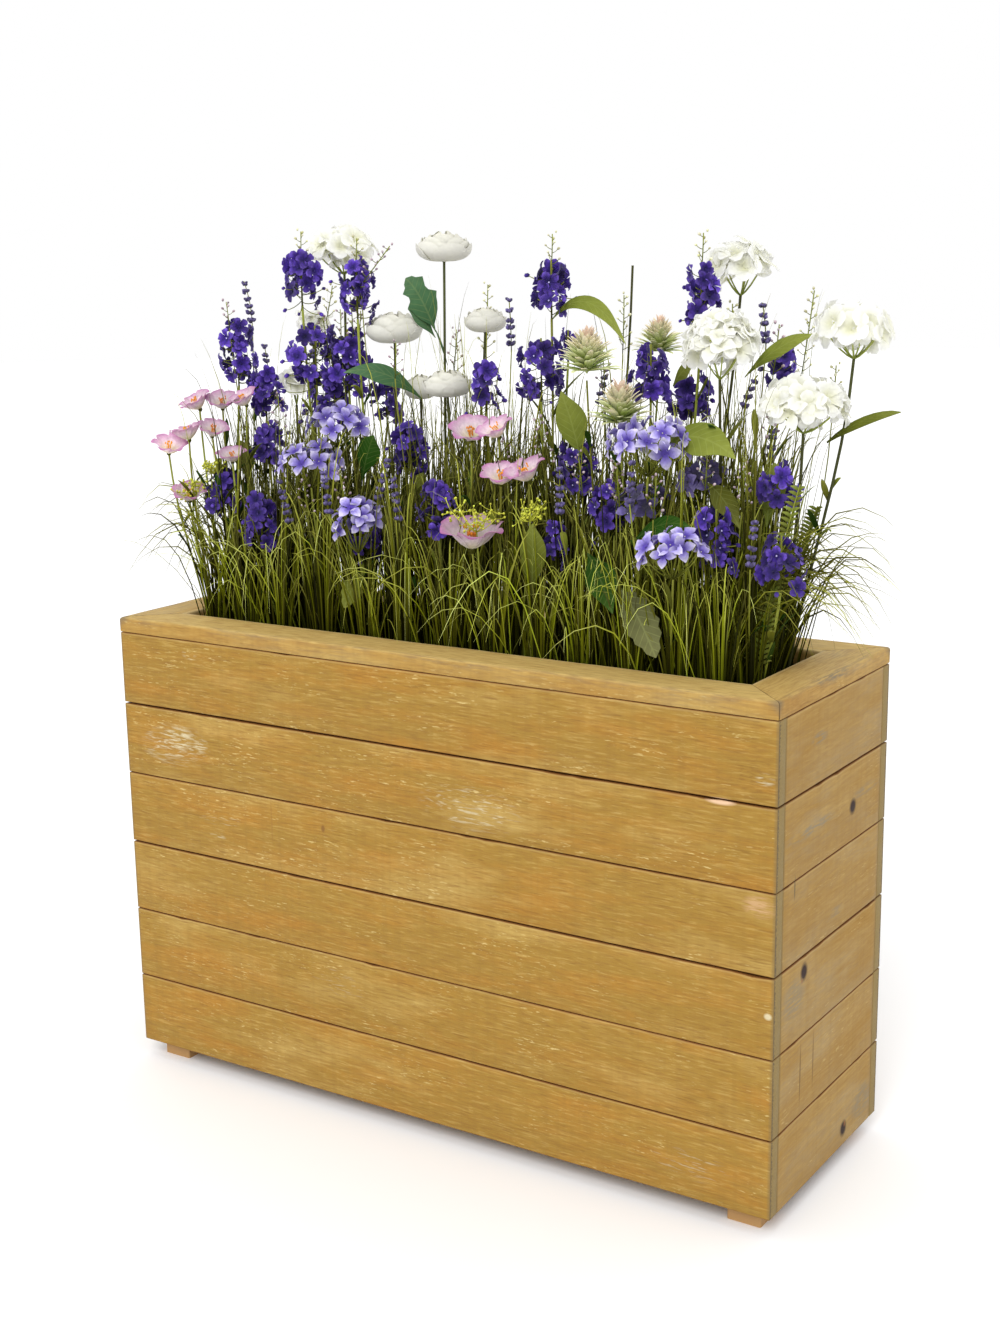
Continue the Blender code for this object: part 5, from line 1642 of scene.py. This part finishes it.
@dataclass
class Bed:
    """The flowers: every bunch as one piece, with its stems, leaves and the root block it stands on."""

    shapes: Shapes
    finishes: Finishes
    root_limit: float = 0.418
    root_share: float = 0.9

    def stem_knots(self, root: Vector, base: Vector, draw: random.Random) -> np.ndarray:
        """A gently wandering way from a root up to the base of a head.

        Args:
            root: where it starts.
            base: where it ends.
            draw: gives its sway.

        Returns:
            The four knots of its curve.
        """
        rise = base.z - root.z
        sway = Vector((draw.uniform(-0.014, 0.014), draw.uniform(-0.010, 0.010), 0.0))
        low = root + Vector((0.12 * (base.x - root.x), 0.12 * (base.y - root.y), 0.42 * rise)) + sway
        high = base - Vector((0.18 * (base.x - root.x), 0.18 * (base.y - root.y), 0.34 * rise)) + 0.4 * sway
        return np.array([tuple(root), tuple(low), tuple(high), tuple(base)])

    def build_bunch(self, name: str, plan: Bunch, seed: int) -> None:
        """Builds one bunch as one piece.

        Args:
            name: the solid that it stands for.
            plan: its row and heads.
            seed: which random turns it gets.
        """
        draw = random.Random(seed)
        kind = Kind[name.split("_")[0].upper()]
        habit = kind.value
        green = self.finishes.dark_stem if habit.dark else self.finishes.stem
        posy = Posy(self.shapes, self.finishes)
        roots = []
        for x, y, z, width, height, *tip in plan.heads:
            middle = Vector((x, y, z)) * MM
            root_x = max(-self.root_limit, min(self.root_limit, self.root_share * middle.x))
            root = Vector((root_x, plan.row * MM, SOIL_TOP - 0.012))
            roots.append(root.x)
            knots = self.stem_knots(root, middle - up(habit.below * height * MM), draw)
            posy.stem(knots, habit.stem, draw.random(), green)
            self.leaf_stem(posy, knots, habit.leaves, draw)
            getattr(Head(posy, draw, middle, width * MM, height * MM), kind.name.lower())()
            if tip:
                foot = middle + up((height / 2 - 10) * MM)
                posy.bud_tip(foot, foot + Vector((0.002, 0, (tip[0] + 12) * MM)), draw)
        for leaf in LEAVES:
            if leaf.bunch == name:
                self.lay_leaf(posy, leaf)
        self.root_block(posy, min(roots), max(roots), plan.row * MM)
        posy.settle(f"{name}_flowers", habit.slot, name)

    def leaf_stem(self, posy: Posy, knots: np.ndarray, count: int, draw: random.Random) -> None:
        """Sets small narrow leaves up the middle of a stem.

        Args:
            posy: the bunch.
            knots: the stem's knots.
            count: how many leaves it carries.
            draw: gives their places and sizes.
        """
        shares = np.array([draw.uniform(0.38, 0.86) for _ in range(count)])
        for i, point in enumerate(along_curve(knots, shares)[0] if count else ()):
            out = spoke(i * GOLDEN + draw.uniform(-0.4, 0.4))
            length = draw.uniform(0.028, 0.058)
            start = Vector(point)
            tip = start + out * length * draw.uniform(0.35, 0.8) + up(length * draw.uniform(0.3, 0.9))
            knots_of = arch(start, start + out * length * 0.3 + up(length * 0.6), tip)
            half = draw.uniform(0.0022, 0.0046)
            posy.bend(self.shapes.narrow, knots_of, half, half, draw.random(), -out + up(0.8),
                      draw.choice((self.finishes.olive_leaf, self.finishes.stem, self.finishes.deep_leaf)))

    def lay_leaf(self, posy: Posy, plan: LeafPlan) -> None:
        """Bends a leaf along its arch.

        Args:
            posy: the bunch that carries it.
            plan: the leaf.
        """
        root, tip = Vector(plan.root) * MM, Vector(plan.tip) * MM
        control = root.lerp(tip, 0.5) + up(plan.arch * MM * 1.6)
        look = (0.35, -0.8, 0.55) if abs(plan.tip[2] - plan.root[2]) < 60 else (0.3, -1.0, 0.1)
        half = plan.width / 2 * MM
        posy.bend(getattr(self.shapes, plan.form), arch(root, control, tip), half, half, plan.tone,
                  Vector(look), getattr(self.finishes, plan.finish))

    def root_block(self, posy: Posy, low_x: float, high_x: float, row: float) -> None:
        """Lays the block of potting mix that the stems stand in, flush in the soil.

        Args:
            posy: the bunch.
            low_x: where its first stem stands.
            high_x: where its last stem stands.
            row: the depth of its row.
        """
        middle = Vector(((low_x + high_x) / 2, row, SOIL_TOP - 0.018))
        size = Matrix.Diagonal(((high_x - low_x) / 2 + 0.0078, 0.0058, 0.0195, 1.0))
        posy.lay(self.shapes.block, Matrix.Translation(middle) @ size, 0.5, self.finishes.soil)

    def build(self) -> None:
        """Builds every bunch, and then the sprays and fillers among them."""
        for seed, (name, plan) in enumerate(BUNCHES.items()):
            self.build_bunch(name, plan, 100 + seed)
        for name, fill in (("bud_sprays", self.sprays), ("yellow_green_fillers", self.fillers),
                           ("fern_fronds", self.fern)):
            posy = Posy(self.shapes, self.finishes)
            fill(posy)
            posy.settle(name, "stems_and_leaves")

    def sprays(self, posy: Posy) -> None:
        """Lays the thin sprays of buds on their own stems, and one bare stem.

        Args:
            posy: the piece that they go to.
        """
        draw = random.Random(41)
        for *ends, pale in SPRAYS:
            foot, top = Vector(ends[:3]) * MM, Vector(ends[3:]) * MM
            depth = max(foot.y, 0.05) if foot.z > 0.95 else foot.y * 0.6
            root = Vector((0.9 * foot.x, depth, SOIL_TOP - 0.004))
            posy.stem(self.stem_knots(root, foot, draw), 0.0008, 0.4, self.finishes.stem)
            posy.bud_tip(foot, top, draw, bool(pale))
        bare = self.stem_knots(Vector((0.16, 0.05, SOIL_TOP)), Vector((0.176, 0.085, 1.128)), draw)
        posy.stem(bare, 0.0017, 0.3, self.finishes.dark_stem)

    def fillers(self, posy: Posy) -> None:
        """Lays the yellow-green sprays: forking stalks with a berry at each end.

        Args:
            posy: the piece that they go to.
        """
        draw = random.Random(43)
        berry = self.finishes.filler
        for x, y, z, size in FILLERS:
            middle = Vector((x, y, z)) * MM
            foot = middle - up(size * MM * 0.8)
            root = Vector((max(-0.41, min(0.41, 0.9 * middle.x)), -0.07, SOIL_TOP))
            posy.stem(self.stem_knots(root, foot, draw), 0.0010, 0.9, self.finishes.stem)
            for _ in range(12):
                spread = Vector((draw.uniform(-1, 1), draw.uniform(-1, 1), draw.uniform(0.1, 1.2)))
                fork = foot + spread * size * MM * 0.45
                posy.stalk(foot, fork, 0.0006, berry)
                for _ in range(5):
                    end = fork + scatter(draw) * size * MM * 0.22
                    posy.stalk(fork, end, 0.0004, berry)
                    posy.lay(self.shapes.bead, facing(end, Z_AXIS, 0.0, draw.uniform(0.0014, 0.0022)),
                             draw.random(), berry)

    def fern(self, posy: Posy) -> None:
        """Lays the upright fern-like fronds at the right end.

        Args:
            posy: the piece that they go to.
        """
        for x, y, top in ((0.450, -0.055, 0.885), (0.425, 0.055, 0.845)):
            knots = arch((x * 0.92, y, SOIL_TOP), (x * 0.95, y, 0.74), (x + 0.02, y, top))
            posy.bend(self.shapes.stem, knots, 0.0011, 0.0009, 0.7, X_AXIS, self.finishes.stem)
            shares = np.linspace(0.28, 0.98, 34)
            points, _ = along_curve(knots, shares)
            for i, (share, point) in enumerate(zip(shares, points)):
                for side in (-1, 1):
                    reach = 0.017 * (1.0 - 0.7 * share) + 0.004
                    end = point + np.array([side * reach, -0.3 * reach, 0.45 * reach])
                    knots_of = arch(point, (point + end) / 2 + np.array([0, 0, 0.2 * reach]), end)
                    posy.bend(self.shapes.blade, knots_of, 0.0024, 0.0006, (i % 5) / 5, (0, -1, 0.3),
                              self.finishes.bright_leaf)


@dataclass(frozen=True)
class Row:
    """A row of tufts: its depth, how high its blades rise, how many they are, and the share in shade."""

    y: float
    low: float
    high: float
    usual: float
    blades: int
    shaded: float


ROWS = (
    Row(-0.086, 0.08, 0.38, 0.20, 46, 0.15), Row(-0.066, 0.12, 0.44, 0.25, 50, 0.5),
    Row(-0.036, 0.18, 0.36, 0.27, 52, 0.85), Row(0.002, 0.21, 0.42, 0.32, 54, 0.85),
    Row(0.040, 0.22, 0.44, 0.34, 54, 0.85), Row(0.080, 0.12, 0.38, 0.26, 50, 0.3),
)
HEADS = np.array([
    (x * MM, y * MM, z * MM, (width + height) / 4 * MM) for name, bunch in BUNCHES.items()
    if not name.startswith("lavender") for x, y, z, width, height, *_ in bunch.heads])


@dataclass
class Grass:
    """The grass: rows of fanning tufts, fine taller blades, and blades that arch over the rim."""

    shapes: Shapes
    finishes: Finishes
    draw: random.Random = field(default_factory=lambda: random.Random(17))
    posy: Posy | None = None
    sunk: float = SOIL_TOP - 0.004
    tufts_in_row: int = 13
    reach_x: float = 0.575
    reach_y: float = 0.222
    sides: tuple[tuple[str, float, float], ...] = (
        ("left", -0.45, -0.143), ("middle", -0.143, 0.143), ("right", 0.143, 0.45))

    def clears_rim(self, knots: np.ndarray) -> bool:
        """Says whether a blade passes over the rim and not through it.

        Args:
            knots: the blade's four knots.

        Returns:
            True where it clears the rim.
        """
        points, _ = along_curve(knots, np.linspace(0.0, 1.0, 13))
        over = (np.abs(points[:, 1]) > MOUTH_Y - 0.002) | (np.abs(points[:, 0]) > MOUTH_X - 0.002)
        return not (over & (points[:, 2] < RIM_TOP + 0.003)).any()

    def hides_bloom(self, knots: np.ndarray) -> bool:
        """Says whether a blade stands before a bloom, seen as in the photograph.

        Args:
            knots: the blade's four knots.

        Returns:
            True where it hides one.
        """
        points, _ = along_curve(knots, np.linspace(0.3, 1.0, 8))
        away = points[:, None, :] - HEADS[None, :, :3]
        nearer = away @ np.array(BACK)
        aside = np.linalg.norm(away - nearer[..., None] * np.array(BACK), axis=2)
        return bool(((nearer > 0.0) & (aside < 0.93 * HEADS[None, :, 3])).any())

    def blade(self, root: Place, tip: Place, lean: float, height: float, width: float, tone: float,
              material: bpy.types.Material | None = None) -> None:
        """Bends one blade, unless it would cut through the rim or hide a bloom.

        Args:
            root: where it starts.
            tip: where it ends.
            lean: how far its arch leans towards the tip, as a share.
            height: how high its arch is pulled.
            width: its width.
            tone: how light it is, 0 to 1.
            material: its finish, if it isn't plain grass.
        """
        draw = self.draw
        control = (root[0] + lean * (tip[0] - root[0]), root[1] + lean * (tip[1] - root[1]), root[2] + height)
        knots = arch(root, control, tip)
        if self.clears_rim(knots) and not (draw.random() < 0.93 and self.hides_bloom(knots)):
            turn = draw.uniform(0.0, math.tau)
            look = (math.cos(turn), math.sin(turn), 0.05)
            self.posy.bend(self.shapes.blade, knots, width / 2, width / 3.2, tone, look,
                           material or self.finishes.grass)

    def tuft(self, x: float, y: float, row: Row) -> None:
        """Sets a tuft of blades that fan out of one spot.

        Args:
            x: the spot's place along the box.
            y: its depth.
            row: the row that it stands in.
        """
        draw = self.draw
        for _ in range(row.blades):
            turn = draw.uniform(0.0, math.tau)
            out = draw.random() ** 0.5
            root = (x + 0.013 * out * math.cos(turn), y + 0.008 * out * math.sin(turn), self.sunk)
            rise = draw.triangular(row.low, row.high, row.usual)
            fan = out * draw.uniform(0.2, 1.0) * (0.020 + 0.33 * rise)
            tip = (root[0] + fan * math.cos(turn), root[1] + 0.7 * fan * math.sin(turn), SOIL_TOP + rise)
            # Blades in shade wear the painted-shade copy, fewer of them to the right; the rest get painted
            # light, lighter towards the ends and the right side
            shaded = draw.random() < row.shaded * (1.1 - 1.3 * max(0.0, x))
            light = min(1.0, draw.betavariate(0.7, 0.9) * (0.80 + 0.45 * abs(x) + 0.6 * max(0.0, x)))
            self.blade(root, tip, draw.uniform(0.0, 0.3), rise * draw.uniform(0.75, 1.1),
                       draw.uniform(0.0018, 0.0034), light, self.finishes.deep_grass if shaded else None)

    def wisps(self, low: float, high: float, row: Row) -> None:
        """Sets fine blades that stand taller than the tufts.

        Args:
            low: where they start along the box.
            high: where they end.
            row: the row that they stand in.
        """
        draw = self.draw
        for _ in range(62 if row.shaded > 0.5 else 22):
            root = (draw.uniform(low, high) * 0.94, row.y + draw.uniform(-0.02, 0.02), self.sunk)
            rise = draw.triangular(row.usual, row.high + 0.12, row.high)
            tip = (root[0] * 1.06 + draw.uniform(-0.06, 0.06), root[1] + draw.uniform(-0.04, 0.04),
                   SOIL_TOP + rise)
            self.blade(root, tip, draw.uniform(0.0, 0.35), rise * draw.uniform(0.7, 1.0),
                       draw.uniform(0.0012, 0.0022), draw.betavariate(1.5, 2.0))

    def arching(self, low: float, high: float, outwards: int) -> None:
        """Sets lighter blades that arch out over the rim and droop; most wear the sunlit copy of the grass,
        painted light.

        Args:
            low: where they start along the box.
            high: where they end.
            outwards: -1 at the front, 1 at the back.
        """
        draw = self.draw
        for _ in range(56 if outwards < 0 else 24):
            x = draw.uniform(low, high)
            root = (x * 0.93, outwards * draw.uniform(0.045, 0.088), self.sunk)
            sway = draw.uniform(-0.11, 0.11)
            out = draw.uniform(0.01, 0.14)
            reach = max(-self.reach_y, min(self.reach_y, root[1] + outwards * out))
            tip = (root[0] + sway, reach, SOIL_TOP + draw.uniform(0.085, 0.20))
            height = draw.uniform(0.18, 0.36)
            self.blade(root, tip, draw.uniform(0.15, 0.6), height, draw.uniform(0.0013, 0.0022),
                       draw.uniform(0.3, 1.0), self.finishes.light_grass if draw.random() < 0.6 else None)

    def side_arcs(self, end: int, count: int) -> None:
        """Sets fine blades that arch out over one end of the box.

        Args:
            end: -1 for the left end, 1 for the right one.
            count: how many they are.
        """
        draw = self.draw
        for _ in range(count):
            root = (end * draw.uniform(0.36, 0.418), draw.uniform(-0.08, 0.08), self.sunk)
            reach = draw.uniform(0.46, self.reach_x)
            tip = (end * reach, root[1] + draw.uniform(-0.07, 0.05), SOIL_TOP + draw.uniform(0.10, 0.25))
            self.blade(root, tip, draw.uniform(0.1, 0.45), draw.uniform(0.24, 0.36),
                       draw.uniform(0.0018, 0.0034), draw.betavariate(1.2, 2.4))

    def build(self) -> None:
        """Builds three pieces along the front and three along the back."""
        draw = self.draw
        spacing = 0.86 / self.tufts_in_row
        for depth, outwards in (("front", -1), ("back", 1)):
            rows = [row for row in ROWS if row.y * outwards > 0]
            for side, low, high in self.sides:
                self.posy = Posy(self.shapes, self.finishes)
                for number, row in enumerate(rows):
                    for i in range(self.tufts_in_row):
                        x = (-0.43 + spacing * (i + 0.5) + 0.4 * spacing * (number % 2)
                             + draw.uniform(-0.009, 0.009))
                        if low <= x < high and abs(x) < 0.424:
                            self.tuft(x, row.y + draw.uniform(-0.004, 0.004), row)
                    self.wisps(low, high, row)
                self.arching(low, high, outwards)
                if side == "middle":
                    # One long blade droops as far out over the rim as the solids do
                    over = (-0.02, outwards * 0.221, 0.742)
                    self.blade((0.03, outwards * 0.086, SOIL_TOP), over, 0.1, 0.26, 0.0022, 0.6)
                else:
                    self.side_arcs(-1 if side == "left" else 1, 40 if side == "left" else 50)
                if (depth, side) == ("front", "left"):
                    self.blade((-0.415, -0.086, SOIL_TOP), (-0.572, -0.110, 0.750), 0.42, 0.115, 0.0026, 0.35)
                self.posy.settle(f"grass_{depth}_{side}_blades", "grass_blades", f"grass_{depth}_{side}")


@dataclass
class Ground:
    """The soil's crumbs, and the CAD pieces that keep their shape."""

    shapes: Shapes
    finishes: Finishes
    crumbs: int = 600

    def build(self) -> None:
        """Dresses the kept solids and scatters crumbs on the soil."""
        kept = {"corner": self.finishes.raw, "floor": self.finishes.long_boards, "soil": self.finishes.soil}
        for node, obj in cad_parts.items():
            if node.split("_")[0] in kept:
                obj.data.materials.clear()
                obj.data.materials.append(kept[node.split("_")[0]])
        draw = random.Random(5)
        posy = Posy(self.shapes, self.finishes)
        for _ in range(self.crumbs):
            place = Vector((draw.uniform(-0.43, 0.43), draw.uniform(-0.098, 0.098), SOIL_TOP + 0.0008))
            look = scatter(draw).normalized()
            size = Matrix.Diagonal((*[draw.uniform(0.0018, 0.0052) for _ in range(3)], 1.0))
            posy.lay(self.shapes.bead, facing(place, look, 0.0, 1.0) @ size, draw.random(), self.finishes.soil)
        posy.settle("soil_crumbs", "soil")


@dataclass
class Studio:
    """The pale floor, the soft light and the camera."""

    radius: float = 18.0
    sun_strength: float = 1.6
    sun_spread: float = math.radians(30)
    sun_aim: Place = (-0.24, 0.74, -0.70)

    def build(self) -> None:
        """Sets the studio."""
        self.floor()
        self.lights()
        self.camera()

    def floor(self) -> None:
        """A wide round floor of matt white paint."""
        deselect_everything()
        bpy.ops.mesh.primitive_circle_add(vertices=96, radius=self.radius, fill_type="NGON")
        floor = bpy.context.object
        floor.name = "studio_floor"
        white = Paint("matt_white_floor").finish(
            Base_Color=linear("#F6F6F6"), Roughness=0.9, Specular_IOR_Level=0.1)
        floor.data.materials.append(white)

    def lights(self) -> None:
        """An even white surround and one broad soft key from the front left."""
        world = bpy.data.worlds.new("studio")
        bpy.context.scene.world = world
        world.use_nodes = True
        background = world.node_tree.nodes["Background"]
        background.inputs["Color"].default_value = (1.0, 1.0, 1.0, 1.0)
        background.inputs["Strength"].default_value = 1.0
        sun = bpy.data.lights.new("key", "SUN")
        sun.energy = self.sun_strength
        sun.angle = self.sun_spread
        new_object("key", sun).rotation_euler = Vector(self.sun_aim).to_track_quat("-Z", "Y").to_euler()
        bpy.context.scene.view_settings.view_transform = "Standard"

    def camera(self) -> None:
        """The photograph's camera."""
        data = bpy.data.cameras.new("camera")
        data.lens = LENS_MM
        data.clip_end = 60.0
        camera = new_object("camera", data)
        camera.location = AIM + BACK * DISTANCE
        turn = (-BACK).to_track_quat("-Z", "Y").to_matrix().to_4x4() @ Matrix.Rotation(ROLL, 4, "Z")
        camera.rotation_euler = turn.to_euler()
        bpy.context.scene.camera = camera


def main() -> None:
    """Builds the planter piece by piece."""
    logging.basicConfig(level=logging.INFO, format="%(message)s")
    finishes = Finishes()
    shapes = Shapes()
    Boards(finishes).build()
    Cap(finishes).build()
    Ground(shapes, finishes).build()
    Bed(shapes, finishes).build()
    Grass(shapes, finishes).build()
    Studio().build()


if __name__ == "__main__":
    main()
